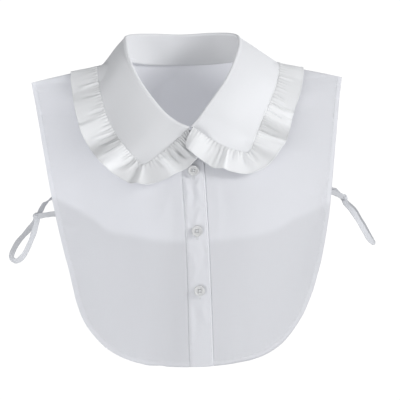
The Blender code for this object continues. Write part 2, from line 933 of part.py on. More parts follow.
def main():
    """Build the false collar."""
    clear_previous()
    parts = bpy.data.collections.new("false_collar")
    cutters = bpy.data.collections.new("cutters")
    bpy.context.scene.collection.children.link(parts)
    bpy.context.scene.collection.children.link(cutters)
    cotton = make_material("white_cotton", (0.80, 0.81, 0.83), 0.85)
    collar_cotton = make_material("collar_cotton", (0.82, 0.83, 0.85), 0.85)
    pearl = make_material("pearl_button", (0.72, 0.72, 0.70), 0.35)
    tape_cotton = make_material("tape_cotton", (0.76, 0.77, 0.79), 0.9)
    make_panels(parts, cotton)
    make_plackets(parts, cotton)
    make_buttons(parts, pearl)
    body = ("front_left_panel", "front_right_panel", "back_panel", "top_placket")
    tree = cloth_tree(parts, body)
    collar = make_collar(parts, collar_cotton, tree)
    make_ruffle(parts, collar_cotton, collar, tree)
    make_ties(parts, tape_cotton)


main()
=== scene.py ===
"""The looks of a false collar: a sleeveless cotton half blouse with a ruffled collar.

Lengths in the tables are millimetres, as in the part's own source, and are made metres
when a mesh is built. X runs to the viewer's right, the front faces -Y and Z is up. The
origin is the middle of the neck at the height of the high shoulder points. "Left" and
"right" in a piece's name are the wearer's.
"""

import logging
import math
import random
from bisect import bisect_right
from dataclasses import dataclass
from enum import Enum
from typing import Callable, NamedTuple

import bmesh
import bpy
from mathutils import Matrix, Quaternion, Vector
from mathutils.bvhtree import BVHTree
from mathutils.kdtree import KDTree


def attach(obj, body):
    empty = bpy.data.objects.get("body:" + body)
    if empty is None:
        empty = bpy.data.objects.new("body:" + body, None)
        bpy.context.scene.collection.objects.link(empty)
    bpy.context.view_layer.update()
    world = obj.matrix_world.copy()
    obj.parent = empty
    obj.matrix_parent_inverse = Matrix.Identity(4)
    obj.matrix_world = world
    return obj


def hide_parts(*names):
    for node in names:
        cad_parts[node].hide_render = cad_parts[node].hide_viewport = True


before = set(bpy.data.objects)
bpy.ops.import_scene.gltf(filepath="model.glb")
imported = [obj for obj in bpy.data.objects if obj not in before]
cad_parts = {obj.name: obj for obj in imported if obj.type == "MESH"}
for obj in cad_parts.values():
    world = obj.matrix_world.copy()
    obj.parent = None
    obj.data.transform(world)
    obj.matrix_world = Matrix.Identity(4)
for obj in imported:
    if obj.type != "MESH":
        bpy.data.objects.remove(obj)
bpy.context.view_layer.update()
MM = 0.001
LOG = logging.getLogger("false_collar")

Rows = tuple[tuple[float, ...], ...]
Colour = tuple[float, float, float]
Faces = list[tuple[int, ...]]
Line = list[tuple[Vector, Vector]]


class Side(Enum):
    """The two halves of the garment, as the viewer sees them."""

    VIEWER_LEFT = -1.0
    VIEWER_RIGHT = 1.0


class Spot(NamedTuple):
    """A point of a cloth surface with what its finish reads, in millimetres, its painted shade and light
    among them.
    """

    place: Vector
    edge: float
    tone: float
    across: float
    along: float


def smoothstep(value: float) -> float:
    """Ease a value from 0 to 1."""
    value = min(max(value, 0.0), 1.0)
    return value * value * (3.0 - 2.0 * value)


def table_value(rows: Rows, key: float, column: int = 1) -> float:
    """Read one column of a table with a smooth curve through its rows.

    Args:
        rows: the table, its first column the keys, rising or falling.
        key: where to read it; past an end, the end holds.
        column: the column to read.

    Returns:
        The value at the key.
    """
    last = len(rows) - 1
    sign = -1.0 if rows[0][0] > rows[-1][0] else 1.0
    keys = [sign * row[0] for row in rows]
    values = [row[column] for row in rows]
    key = min(max(sign * key, keys[0]), keys[-1])
    index = 0
    while index < last - 1 and key > keys[index + 1]:
        index += 1
    span = keys[index + 1] - keys[index]
    part = (key - keys[index]) / span

    def slope(at: int) -> float:
        """Give the curve's slope at a row."""
        low, high = max(at - 1, 0), min(at + 1, last)
        return (values[high] - values[low]) / (keys[high] - keys[low])

    square, cube = part * part, part ** 3
    return (
        values[index] * (2 * cube - 3 * square + 1)
        + slope(index) * span * (cube - 2 * square + part)
        + values[index + 1] * (3 * square - 2 * cube)
        + slope(index + 1) * span * (cube - square)
    )


def smooth_path(points: list[Vector], per_span: int = 12) -> list[Vector]:
    """Sample a smooth open curve.

    Args:
        points: the points it passes through.
        per_span: samples between two of them.

    Returns:
        The samples, with the last point.
    """
    samples = []
    last = len(points) - 1
    for index in range(last):
        before, start = points[max(index - 1, 0)], points[index]
        end, after = points[index + 1], points[min(index + 2, last)]
        for step in range(per_span):
            part = step / per_span
            bend = (2 * before - 5 * start + 4 * end - after) * part ** 2
            twist = (3 * start - before - 3 * end + after) * part ** 3
            samples.append(0.5 * (2 * start + (end - before) * part + bend + twist))
    samples.append(points[last].copy())
    return samples


class Route:
    """A curve that is read by the share of its length."""

    def __init__(self, points: list[Vector]) -> None:
        """Measure the curve through the points."""
        self.points = points
        self.marks = [0.0]
        for start, end in zip(points, points[1:]):
            self.marks.append(self.marks[-1] + (end - start).length)
        self.length = self.marks[-1]

    def at(self, share: float) -> Vector:
        """Give the point at a share of the length.

        Args:
            share: from 0 at the start to 1 at the end.

        Returns:
            The point on the curve.
        """
        target = min(max(share, 0.0), 1.0) * self.length
        low = min(max(bisect_right(self.marks, target) - 1, 0), len(self.marks) - 2)
        span = self.marks[low + 1] - self.marks[low]
        part = (target - self.marks[low]) / span if span else 0.0
        return self.points[low].lerp(self.points[low + 1], part)

    def tangent(self, share: float, reach: float = 1.0) -> Vector:
        """Give the direction of the curve, read over a reach in millimetres each way."""
        step = reach / self.length
        return (self.at(share + step) - self.at(share - step)).normalized()


def deselect_all() -> None:
    """Leave edit mode and clear the selection."""
    if bpy.context.object and bpy.context.object.mode != "OBJECT":
        bpy.ops.object.mode_set(mode="OBJECT")
    bpy.ops.object.select_all(action="DESELECT")


def make_active(piece: bpy.types.Object) -> None:
    """Select one object alone and make it active."""
    deselect_all()
    piece.select_set(True)
    bpy.context.view_layer.objects.active = piece


def apply_modifiers(piece: bpy.types.Object) -> None:
    """Apply every modifier on a piece, in order."""
    make_active(piece)
    for name in [modifier.name for modifier in piece.modifiers]:
        bpy.ops.object.modifier_apply(modifier=name)


def settle(piece: bpy.types.Object, place: Matrix) -> None:
    """Move a piece's mesh to its place and leave its object at the origin."""
    piece.data.transform(place)
    piece.matrix_world = Matrix.Identity(4)
    bpy.context.view_layer.update()


def join_pieces(name: str, pieces: list[bpy.types.Object]) -> bpy.types.Object:
    """Join objects into one.

    Args:
        name: the name of the joined piece.
        pieces: the objects, all at the origin.

    Returns:
        The joined object.
    """
    make_active(pieces[0])
    for piece in pieces[1:]:
        piece.select_set(True)
    bpy.ops.object.join()
    joined = bpy.context.view_layer.objects.active
    joined.name = name
    joined.data.name = name
    return joined


def add_mesh(
    name: str, points: list[Vector], faces: Faces, material: bpy.types.Material
) -> bpy.types.Object:
    """Make an object from points in millimetres and faces.

    Args:
        name: the object's name.
        points: its vertices.
        faces: its faces, as vertex numbers.
        material: its finish.

    Returns:
        The new object, smooth shaded.
    """
    mesh = bpy.data.meshes.new(name)
    mesh.from_pydata([point * MM for point in points], [], faces)
    mesh.update()
    mesh.materials.append(material)
    mesh.shade_smooth()
    piece = bpy.data.objects.new(name, mesh)
    bpy.context.scene.collection.objects.link(piece)
    return piece


class Stock:
    """Vertices, in millimetres, and faces that are gathered for one mesh."""

    def __init__(self) -> None:
        """Start with nothing."""
        self.points: list[Vector] = []
        self.faces: Faces = []

    def add(self, points: list[Vector], faces: Faces) -> None:
        """Add a patch.

        Args:
            points: its vertices.
            faces: its faces, counted from its own first vertex.
        """
        start = len(self.points)
        self.points += points
        self.faces += [tuple(start + corner for corner in face) for face in faces]


def ring(centre: Vector, across: Vector, up: Vector, radius: float, sides: int) -> list[Vector]:
    """Give the points of a ring round a centre.

    Args:
        centre: its middle.
        across: the way to its first point.
        up: the way at a right angle to it.
        radius: its radius.
        sides: how many points it has.

    Returns:
        The points in order.
    """
    turns = [2 * math.pi * corner / sides for corner in range(sides)]
    return [centre + across * math.cos(turn) * radius + up * math.sin(turn) * radius for turn in turns]


def tube_faces(rings: int, sides: int, outward: bool = False) -> Faces:
    """List the faces of a tube that is laid out ring by ring, open at its ends.

    Args:
        rings: how many rings it has.
        sides: how many points a ring has.
        outward: True where a ring turns the other way about the tube.

    Returns:
        The faces.
    """
    faces = []
    for start in range(0, (rings - 1) * sides, sides):
        for corner in range(sides):
            a, b = start + corner, start + (corner + 1) % sides
            faces.append((a, b, b + sides, a + sides) if outward else (a, a + sides, b + sides, b))
    return faces


def mark_cloth(mesh: bpy.types.Mesh, edges: list[float], painted_shades: list[float]) -> None:
    """Give each point of a mesh the edge values and the painted shade and light values that the cotton
    finish reads.
    """
    for name, values in (("edge", edges), ("tone", painted_shades)):
        mesh.attributes.new(name, "FLOAT", "POINT").data.foreach_set("value", values)


def lay_chart(mesh: bpy.types.Mesh, places: list[tuple[float, float]]) -> None:
    """Give a mesh its cloth map.

    Args:
        mesh: the mesh.
        places: for each point, how far across and along the cloth it lies.
    """
    chart = mesh.uv_layers.new(name="cloth")
    flat = []
    for loop in mesh.loops:
        across, along = places[loop.vertex_index]
        flat.extend((across * MM, along * MM))
    chart.data.foreach_set("uv", flat)


def dress(piece: bpy.types.Object, nodes: tuple[str, ...] = ()) -> None:
    """Let a finished piece ride with the garment, hide the nodes that it replaces and log its faces.

    Args:
        piece: the piece.
        nodes: the nodes that it replaces.
    """
    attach(piece, "root")
    if nodes:
        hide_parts(*nodes)
    LOG.info("%s: %d faces", piece.name, len(piece.data.polygons))


class ClothGrid:
    """A cloth surface laid out in rows and columns."""

    def __init__(self, columns: int, rows: int, place: Callable[[int, int], Spot]) -> None:
        """Work out each point of the surface.

        Args:
            columns: the number of points across.
            rows: the number of points down.
            place: gives the point at a column and a row.
        """
        self.columns = columns
        self.rows = rows
        self.spots = [place(c, r) for r in range(rows) for c in range(columns)]

    def faces(self) -> Faces:
        """List the faces, which point towards the viewer where rows run down."""
        wide = self.columns
        starts = [row * wide + column for row in range(self.rows - 1) for column in range(wide - 1)]
        return [(start, start + wide, start + wide + 1, start + 1) for start in starts]


    def build(self, name: str, material: bpy.types.Material, wall: float) -> bpy.types.Object:
        """Make the piece, its wall on the wearer's side.

        Args:
            name: the piece's name.
            material: its finish.
            wall: its thickness in millimetres.

        Returns:
            The finished piece, with its cloth map, its edge values and its painted shade and light.
        """
        piece = add_mesh(name, [spot.place for spot in self.spots], self.faces(), material)
        mark_cloth(piece.data, [spot.edge for spot in self.spots], [spot.tone for spot in self.spots])
        lay_chart(piece.data, [(spot.across, spot.along) for spot in self.spots])
        thick = piece.modifiers.new("wall", "SOLIDIFY")
        thick.thickness = wall * MM
        thick.offset = -1.0
        thick.use_even_offset = False
        apply_modifiers(piece)
        return piece


# Finishes.


class NodeKit:
    """Adds nodes to a material or a world, sets their inputs and links them."""

    def __init__(self, owner: bpy.types.Material | bpy.types.World) -> None:
        """Open the owner's node tree."""
        owner.use_nodes = True
        self.nodes = owner.node_tree.nodes
        self.links = owner.node_tree.links

    def fill(self, node: bpy.types.Node, inputs: dict[str | int, object]) -> None:
        """Fill a node's inputs.

        Args:
            node: the node.
            inputs: by an input's name or number, the value to set or the output to link.
        """
        for name, value in inputs.items():
            if isinstance(value, bpy.types.NodeSocket):
                self.links.new(value, node.inputs[name])
            else:
                node.inputs[name].default_value = value

    def add(
        self, kind: str, output: str, inputs: dict[str | int, object] | None = None, **choices: str
    ) -> bpy.types.NodeSocket:
        """Add a node.

        Args:
            kind: its type, without "ShaderNode".
            output: the name of the output that is wanted.
            inputs: what fills its inputs.
            choices: the node's own settings.

        Returns:
            The output.
        """
        node = self.nodes.new(f"ShaderNode{kind}")
        for name, choice in choices.items():
            setattr(node, name, choice)
        self.fill(node, inputs or {})
        return node.outputs[output]

    def maths(self, operation: str, *values: object) -> bpy.types.NodeSocket:
        """Add a Math node of one operation and give its result."""
        return self.add("Math", "Value", dict(enumerate(values)), operation=operation)

    def ramp(
        self, source: bpy.types.NodeSocket, low: Colour, high: Colour, ends: tuple[float, float] = (0.0, 1.0)
    ) -> bpy.types.NodeSocket:
        """Fade from one colour to another.

        Args:
            source: the value that is read.
            low: the colour up to the first end.
            high: the colour from the second end on.
            ends: the two values.

        Returns:
            The colour.
        """
        colour = self.add("ValToRGB", "Color", {"Fac": source})
        for element, tint, end in zip(colour.node.color_ramp.elements, (low, high), ends):
            element.color = (*tint, 1.0)
            element.position = end
        return colour

    def seen_apart(self, lit: bpy.types.NodeSocket, seen: bpy.types.NodeSocket) -> bpy.types.NodeSocket:
        """Light the room with one shader and show the eye another."""
        path = self.add("LightPath", "Is Camera Ray")
        return self.add("MixShader", "Shader", {"Fac": path, 1: lit, 2: seen})


@dataclass(frozen=True)
class Cotton:
    """Plain-woven white cotton: its colour, sheen, weave and how much light it lets through."""

    name: str
    colour: Colour
    see_through: float = 0.26
    # Painted light: how strongly the cloth glows.
    glow: float = 0.0
    roughness: float = 0.86
    sheen: float = 0.12
    thread_pitch: float = 0.42
    weave_depth: float = 0.05
    groove_depth: float = 0.22
    rumple_depth: float = 0.35
    rumple_scale: float = 34.0
    stitch_line: float = 5.2

    def make(self) -> bpy.types.Material:
        """Build the material.

        Returns:
            A node material that reads the cloth map, the edge values and the painted shade and light values.
        """
        material = bpy.data.materials.new(self.name)
        kit = NodeKit(material)
        shader = kit.nodes["Principled BSDF"]
        chart = kit.add("UVMap", "UV", uv_map="cloth")

        # Threads that pass over and under each other.
        band = {"Distortion": 0.6, "Detail": 1.0, "Detail Scale": 0.4, "Vector": chart}
        band["Scale"] = 2 * math.pi / (20 * self.thread_pitch * MM)
        ways = ("X", "Y")
        waves = [kit.add("TexWave", "Fac", band, wave_type="BANDS", bands_direction=way) for way in ways]
        weave = kit.maths("MAXIMUM", *waves)

        # Thicker and thinner yarns, long one way and narrow the other.
        slubs = []
        for stretch in ((70.0, 1500.0, 1.0), (1500.0, 70.0, 1.0)):
            turn = kit.add("Mapping", "Vector", {"Scale": stretch, "Vector": chart})
            slubs.append(kit.add("TexNoise", "Fac", {"Scale": 1.0, "Detail": 2.0, "Vector": turn}))
        yarns = kit.maths("ADD", *slubs)

        # Faint rumples of worn cloth.
        folds = {"Scale": self.rumple_scale, "Detail": 3.0, "Roughness": 0.45}
        folds["Vector"] = kit.add("TexCoord", "Object")
        rumple = kit.add("TexNoise", "Fac", folds)

        # The groove that a row of stitches pulls beside an edge.
        edge = kit.add("Attribute", "Fac", attribute_name="edge")
        apart = kit.maths("ABSOLUTE", kit.maths("SUBTRACT", edge, self.stitch_line))
        reach = {"From Min": 0.0, "From Max": 0.9, "Value": apart}
        groove = kit.add("MapRange", "Result", reach, interpolation_type="SMOOTHSTEP")

        relief: dict[str | int, object] = {}
        for height, depth, strength in (
            (rumple, self.rumple_depth, 0.8),
            (groove, self.groove_depth, 0.8),
            (yarns, self.weave_depth * 0.8, 0.5),
            (weave, self.weave_depth, 0.5),
        ):
            bump = {"Distance": depth * MM, "Strength": strength, "Height": height}
            relief = {"Normal": kit.add("Bump", "Normal", bump | relief)}

        # Colour: the cotton's own, times the painted shading that each piece gives its points: painted shade
        # and painted light, partly standing in for layers seen through the sheer cloth.
        tone = kit.add("Attribute", "Fac", attribute_name="tone")
        span = {"From Min": 0.7, "From Max": 1.3, "To Min": 0.985, "To Max": 1.0, "Value": yarns}
        amount = kit.maths("MULTIPLY", tone, kit.add("MapRange", "Result", span))
        paint = kit.add("VectorMath", "Vector", {0: self.colour, "Scale": amount}, operation="SCALE")

        through = kit.add("BsdfTranslucent", "BSDF", {"Color": paint} | relief)
        layers = {"Fac": self.see_through, 1: shader.outputs["BSDF"], 2: through}
        kit.fill(kit.nodes["Material Output"], {"Surface": kit.add("MixShader", "Shader", layers)})
        kit.fill(shader, {"Roughness": self.roughness, "Specular IOR Level": 0.25, "Base Color": paint})
        kit.fill(shader, {"Sheen Weight": self.sheen, "Sheen Roughness": 0.45} | relief)
        # Painted light: the cloth glows a little in its own colour, standing in for the bright room seen
        # through a single layer.
        kit.fill(shader, {"Emission Color": (*self.colour, 1.0), "Emission Strength": self.glow})
        return material


@dataclass(frozen=True)
class Thread:
    """Sewing thread with its twist."""

    name: str = "sewing_thread"
    colour: Colour = (0.86, 0.87, 0.89)
    twist_scale: float = 900.0

    def make(self) -> bpy.types.Material:
        """Build the material.

        Returns:
            A node material with a fine slanted twist.
        """
        material = bpy.data.materials.new(self.name)
        kit = NodeKit(material)
        wave = {"Scale": self.twist_scale, "Vector": kit.add("TexCoord", "Object")}
        twist = kit.add("TexWave", "Fac", wave, bands_direction="DIAGONAL")
        # The colour darkens in the twist's grooves, where the bump is lowest: painted shade.
        paint = kit.ramp(twist, tuple(share * 0.82 for share in self.colour), self.colour)
        bump = kit.add("Bump", "Normal", {"Distance": 0.05 * MM, "Strength": 0.6, "Height": twist})
        shader = kit.nodes["Principled BSDF"]
        kit.fill(shader, {"Roughness": 0.6, "Sheen Weight": 0.1, "Base Color": paint, "Normal": bump})
        return material


@dataclass(frozen=True)
class Pearl:
    """The cloudy white of a pearly resin button."""

    name: str = "pearl_button"
    light: Colour = (0.68, 0.68, 0.675)
    dark: Colour = (0.61, 0.615, 0.625)
    cloud_scale: float = 240.0

    def make(self) -> bpy.types.Material:
        """Build the material.

        Returns:
            A glossy node material with soft clouds and a clear coat.
        """
        material = bpy.data.materials.new(self.name)
        kit = NodeKit(material)
        turn = {"Scale": (1.0, 1.0, 2.6), "Rotation": (0.0, 0.5, 0.3)}
        turn["Vector"] = kit.add("TexCoord", "Object")
        cloud = {"Scale": self.cloud_scale, "Detail": 4.0, "Distortion": 1.2}
        cloud["Vector"] = kit.add("Mapping", "Vector", turn)
        paint = kit.ramp(kit.add("TexNoise", "Fac", cloud), self.dark, self.light, (0.35, 0.65))
        shader = kit.nodes["Principled BSDF"]
        kit.fill(shader, {"Roughness": 0.28, "Coat Weight": 0.5, "Coat Roughness": 0.12})
        kit.fill(shader, {"Subsurface Weight": 0.15, "Subsurface Radius": (0.002, 0.002, 0.002)})
        kit.fill(shader, {"Base Color": paint})
        return material


@dataclass(frozen=True)
class StudioPaper:
    """The pale floor: bright to the eye, a soft white to the light."""

    name: str = "studio_paper"
    seen: float = 1.06
    colour: Colour = (0.86, 0.86, 0.87)

    def make(self) -> bpy.types.Material:
        """Build the material.

        Returns:
            A pale matt node material that is seen as plain white.
        """
        material = bpy.data.materials.new(self.name)
        kit = NodeKit(material)
        shader = kit.nodes["Principled BSDF"]
        kit.fill(shader, {"Base Color": (*self.colour, 1.0), "Roughness": 0.9})
        glow = kit.add("Emission", "Emission", {"Strength": self.seen})
        shown = kit.seen_apart(shader.outputs["BSDF"], glow)
        kit.fill(kit.nodes["Material Output"], {"Surface": shown})
        return material


# The worn form that the cloth lies on.


@dataclass
class WornForm:
    """The hollow form of the worn garment, as the part's own source has it."""

    neck_half_width: float = 66.0
    neck_front_depth: float = 61.0
    neck_back_depth: float = 57.0
    neck_front_drop: float = 78.0
    neck_back_drop: float = 8.0
    neck_front_power: float = 1.15
    tip_half_width: float = 170.0
    tip_depth: float = 6.0
    seam_room: float = 0.12
    shoulder_turn: float = 105.0
    neck_turn: float = 12.0
    turn_power: float = 0.65
    side_power: float = 2.3
    front_swing: float = math.radians(1.2)
    swing_start: float = -70.0
    swing_full: float = -190.0
    spread: float = 11.0
    spread_half_width: float = 110.0
    spread_start: float = -215.0
    spread_full: float = -310.0
    neck_share: float = 0.45
    # Shoulder seam: half width, height.
    shoulder_line: Rows = (
        (66.0, 0.0), (80.0, -6.0), (98.0, -11.6), (125.0, -16.2), (150.0, -21.4), (170.0, -26.0),
    )
    # Front centre line: height, depth.
    front_centre: Rows = (
        (-60.0, -54.0), (-78.0, -61.0), (-105.0, -78.0), (-140.0, -93.0), (-180.0, -104.0),
        (-220.0, -109.0), (-270.0, -110.0), (-326.0, -107.0),
    )
    # Front side edge and hem: height, half width, depth.
    front_side: Rows = (
        (-26.0, 170.0, 6.0), (-34.0, 168.6, -4.0), (-50.0, 165.6, -13.0), (-89.0, 159.4, -27.0),
        (-127.0, 153.7, -38.0), (-166.0, 148.0, -43.0), (-204.0, 140.5, -47.0), (-230.0, 134.0, -50.0),
        (-255.0, 125.5, -55.0),
    )
    front_hem: Rows = (
        (-255.0, 125.5, -55.0), (-280.0, 112.5, -65.0), (-303.0, 93.0, -80.0), (-315.0, 75.0, -91.0),
        (-321.5, 55.0, -99.0), (-325.0, 28.0, -105.0), (-326.0, 0.0, -107.0),
    )
    # The same for the back.
    back_centre: Rows = (
        (-8.0, 57.0), (-40.0, 70.0), (-80.0, 81.0), (-130.0, 90.0), (-170.0, 92.0), (-208.0, 90.0),
    )
    back_side: Rows = (
        (-26.0, 170.0, 6.0), (-35.0, 168.3, 16.0), (-60.0, 163.5, 27.0), (-100.0, 157.0, 37.0),
        (-130.0, 152.5, 42.0), (-157.0, 148.0, 46.0),
    )
    back_hem: Rows = (
        (-157.0, 148.0, 46.0), (-172.0, 132.0, 58.0), (-186.0, 112.0, 69.0), (-197.0, 88.0, 78.0),
        (-204.0, 58.0, 85.0), (-207.5, 28.0, 89.0), (-208.0, 0.0, 90.0),
    )

    def neck_point(self, angle: float, side: float = 1.0) -> Vector:
        """Give the neck seam.

        Args:
            angle: degrees round the neck, 0 in front and 180 behind.
            side: 1 for the viewer's right, -1 for the left.

        Returns:
            The point on the seam.
        """
        turn = math.radians(angle)
        x = self.neck_half_width * math.sin(turn)
        cosine = math.cos(turn)
        if cosine > 0.0:
            y = -self.neck_front_depth * cosine
            z = -self.neck_front_drop * cosine ** self.neck_front_power
        else:
            y = -self.neck_back_depth * cosine
            z = -self.neck_back_drop * cosine * cosine
        return Vector((side * x, y, z))

    def shoulder_point(self, share: float) -> Vector:
        """Give the shoulder seam from the high shoulder point, 0, to the tip, 1."""
        x = self.neck_half_width + (self.tip_half_width - self.neck_half_width) * share
        return Vector((x, self.tip_depth * share, table_value(self.shoulder_line, x)))

    def top_edge(self, share: float, front: bool, start_angle: float) -> Vector:
        """Give a panel's top edge, the neck seam and then the shoulder seam.

        Args:
            share: from 0 at the middle to 1 at the shoulder tip.
            front: True for the front.
            start_angle: the neck angle at which the panel starts.

        Returns:
            The point on the edge.
        """
        if share < self.neck_share:
            angle = start_angle + (90.0 - start_angle) * share / self.neck_share
            return self.neck_point(angle if front else 180.0 - angle)
        return self.shoulder_point((share - self.neck_share) / (1.0 - self.neck_share))

    def top_at(self, x: float, front: bool) -> tuple[float, float]:
        """Give the top edge above a half width.

        Args:
            x: the half width.
            front: True for the front.

        Returns:
            The edge's height and depth.
        """
        if x < self.neck_half_width:
            angle = math.degrees(math.asin(max(x, 0.0) / self.neck_half_width))
            point = self.neck_point(angle if front else 180.0 - angle)
        else:
            spread = self.tip_half_width - self.neck_half_width
            point = self.shoulder_point((x - self.neck_half_width) / spread)
        return point.z, point.y

    def depth(self, x: float, z: float, front: bool) -> float:
        """Give the depth of the front or back surface.

        Args:
            x: the width from the middle.
            z: the height.
            front: True for the front.

        Returns:
            The y of the surface.
        """
        centre, side, hem = (
            (self.front_centre, self.front_side, self.front_hem)
            if front
            else (self.back_centre, self.back_side, self.back_hem)
        )
        x = abs(x)
        middle = table_value(centre, z)
        rim = side if z > side[-1][0] else hem[:-1]
        half_width = max(table_value(rim, z), 1.0)
        edge = table_value(rim, z, 2)
        full = middle + (edge - middle) * min(x / half_width, 1.2) ** self.side_power
        top_z, top_y = self.top_at(x, front)
        below = max(top_z - z, 0.0)
        outward = smoothstep(x / self.neck_half_width)
        turn = self.neck_turn + (self.shoulder_turn - self.neck_turn) * outward
        turned = math.sin(0.5 * math.pi * min(below / turn, 1.0) ** self.turn_power)
        room = self.seam_room * outward * (1.0 - turned)
        return top_y + (full - top_y) * turned + (-room if front else room)

    def hang(self, point: Vector) -> Vector:
        """Swing the lower front a little about the neck and spread its viewer's left half.

        Args:
            point: the point as draped.

        Returns:
            The point as it hangs.
        """
        share = smoothstep((self.swing_start - point.z) / (self.swing_start - self.swing_full))
        angle = self.front_swing * share
        drop = point.z + self.neck_front_drop
        low = smoothstep((self.spread_start - point.z) / (self.spread_start - self.spread_full))
        wider = self.spread * low * min(point.x, 0.0) / self.spread_half_width
        x = point.x + wider - math.sin(angle) * drop
        return Vector((x, point.y, point.z + math.sin(angle) * point.x))

    def surface(self, x: float, z: float, front: bool) -> Vector:
        """Give the front or the back of the garment at a width and height."""
        point = Vector((x, self.depth(x, z, front), z))
        return self.hang(point) if front else point

    def raised(self, x: float, z: float, lift: float, front: bool = True) -> Vector:
        """Give a point off the cloth, on the side away from the wearer.

        Args:
            x: the width from the middle.
            z: the height.
            lift: the height above the form, along its normal.
            front: True for the front.

        Returns:
            The raised point.
        """
        point = self.surface(x, z, front)
        across = self.surface(x + 1.0, z, front) - self.surface(x - 1.0, z, front)
        upward = self.surface(x, z + 1.0, front) - self.surface(x, z - 1.0, front)
        normal = across.cross(upward).normalized()
        return point + normal * (lift if front else -lift)

    def normal(self, x: float, z: float, front: bool = True) -> Vector:
        """Give the way off the cloth at a width and height."""
        return (self.raised(x, z, 1.0, front) - self.surface(x, z, front)).normalized()

    def rim(self, rows: Rows) -> Route:
        """Make a smooth route through a side or hem table."""
        return Route(smooth_path([Vector((row[1], row[2], row[0])) for row in rows]))

    def outline(self, front: bool, inner_x: float) -> Callable[[float, float], Vector]:
        """Give the function that places a half panel's outline in width and height.

        Args:
            front: True for a front panel.
            inner_x: how far from the middle the panel starts.

        Returns:
            A function of the shares across and down.
        """
        side_route = self.rim(self.front_side if front else self.back_side)
        hem_route = self.rim(tuple(reversed(self.front_hem if front else self.back_hem)))
        start_angle = math.degrees(math.asin(inner_x / self.neck_half_width))
        hem_start = 0.0
        while hem_route.at(hem_start).x < inner_x:
            hem_start += 0.001

        def hem(u: float) -> Vector:
            """Follow the hem from the middle to the side."""
            return hem_route.at(hem_start + (1.0 - hem_start) * u)

        def top(u: float) -> Vector:
            """Follow the top edge from the middle to the shoulder tip."""
            return self.top_edge(u, front, start_angle)

        corners = (top(0.0), top(1.0), hem(0.0), hem(1.0))

        def place(u: float, v: float) -> Vector:
            """Blend the four edges at the shares across and down."""
            centre = corners[0].lerp(corners[2], v)
            return (
                top(u) * (1 - v)
                + hem(u) * v
                + centre * (1 - u)
                + side_route.at(v) * u
                - corners[0] * (1 - u) * (1 - v)
                - corners[1] * u * (1 - v)
                - corners[2] * (1 - u) * v
                - corners[3] * u * v
            )

        return place

    def finished_edge(self, front: bool) -> Route:
        """Give the armhole and hem of a half as one route in width and height."""
        side = self.rim(self.front_side if front else self.back_side)
        hem = self.rim(self.front_hem if front else self.back_hem)
        return Route([Vector((point.x, 0.0, point.z)) for point in side.points + hem.points[1:]])


@dataclass(frozen=True)
class Crease:
    """A soft trough or ridge in a panel, in width and height.

    It bends through its middle point. A height below 0 is a trough.
    """

    start: tuple[float, float]
    middle: tuple[float, float]
    end: tuple[float, float]
    half_width: float
    height: float

    def lift(self, x: float, z: float) -> float:
        """Give how much the crease raises the cloth.

        Args:
            x: the width from the middle, less than 0 on the viewer's left.
            z: the height.

        Returns:
            The lift in millimetres.
        """
        best = None
        knots = (self.start, self.middle, self.end)
        for index in range(2):
            (ax, az), (bx, bz) = knots[index], knots[index + 1]
            dx, dz = bx - ax, bz - az
            part = ((x - ax) * dx + (z - az) * dz) / (dx * dx + dz * dz)
            part = min(max(part, 0.0), 1.0)
            gap = (x - ax - part * dx) ** 2 + (z - az - part * dz) ** 2
            if best is None or gap < best[0]:
                best = (gap, (index + part) / 2)
        reach = self.half_width * self.half_width
        if best[0] > 9.0 * reach:
            return 0.0
        fade = math.sin(math.pi * best[1]) ** 0.6 if 0.0 < best[1] < 1.0 else 0.0
        return self.height * math.exp(-best[0] / reach) * fade


def total_lift(creases: tuple[Crease, ...], x: float, z: float) -> float:
    """Add up the creases at a point."""
    return sum(crease.lift(x, z) for crease in creases)


class HemLine:
    """The turned hem along a half's armhole and lower edge."""

    def __init__(self, form: WornForm, front: bool) -> None:
        """Lay marks along the edge, close enough to measure from."""
        self.route = form.finished_edge(front)
        self.count = int(self.route.length / 0.4)
        self.tree = KDTree(self.count + 1)
        for index in range(self.count + 1):
            self.tree.insert(self.route.at(index / self.count), index)
        self.tree.balance()

    def measure(self, x: float, z: float) -> tuple[float, float]:
        """Measure from the edge.

        Args:
            x: the half width, above 0.
            z: the height.

        Returns:
            The distance from the edge and the length along it from the shoulder.
        """
        _, index, gap = self.tree.find(Vector((x, 0.0, z)))
        return gap, index / self.count * self.route.length


@dataclass
class StitchRow:
    """A row of small stitches, laid along a line of points and normals."""

    pitch: float = 2.5
    length: float = 1.9
    thickness: float = 0.24
    sides: int = 5
    # One stitch: share of its length, width, rise.
    profile: Rows = ((-0.5, 0.35, -0.10), (-0.3, 1.0, 0.12), (0.3, 1.0, 0.12), (0.5, 0.35, -0.10))

    def lay(self, line: Line, stock: Stock) -> None:
        """Lay the stitches.

        Args:
            line: points on the cloth, each with the way off it.
            stock: takes the stitches.
        """
        points, normals = zip(*line)
        route = Route(points)
        start = tuple(range(self.sides))
        end = tuple((len(self.profile) - 1) * self.sides + corner for corner in reversed(start))
        faces = tube_faces(len(self.profile), self.sides) + [start, end]
        for index in range(int(route.length / self.pitch)):
            share = (index + 0.5) * self.pitch / route.length
            normal = normals[min(int(share * len(normals)), len(normals) - 1)]
            centre = route.at(share)
            along = route.tangent(share, 0.6)
            across = along.cross(normal).normalized()
            stitch = []
            for step, width, rise in self.profile:
                middle = centre + along * step * self.length + normal * rise
                stitch += ring(middle, across, normal, 0.5 * self.thickness * width, self.sides)
            stock.add(stitch, faces)


def stitches(name: str, lines: list[Line], thread: bpy.types.Material) -> None:
    """Make one piece of all the stitches along some lines.

    Args:
        name: the piece's name.
        lines: for each line, its points with the way off the cloth.
        thread: the thread's finish.
    """
    stock = Stock()
    for line in lines:
        StitchRow().lay(line, stock)
    dress(add_mesh(name, stock.points, stock.faces, thread))


# Panels.


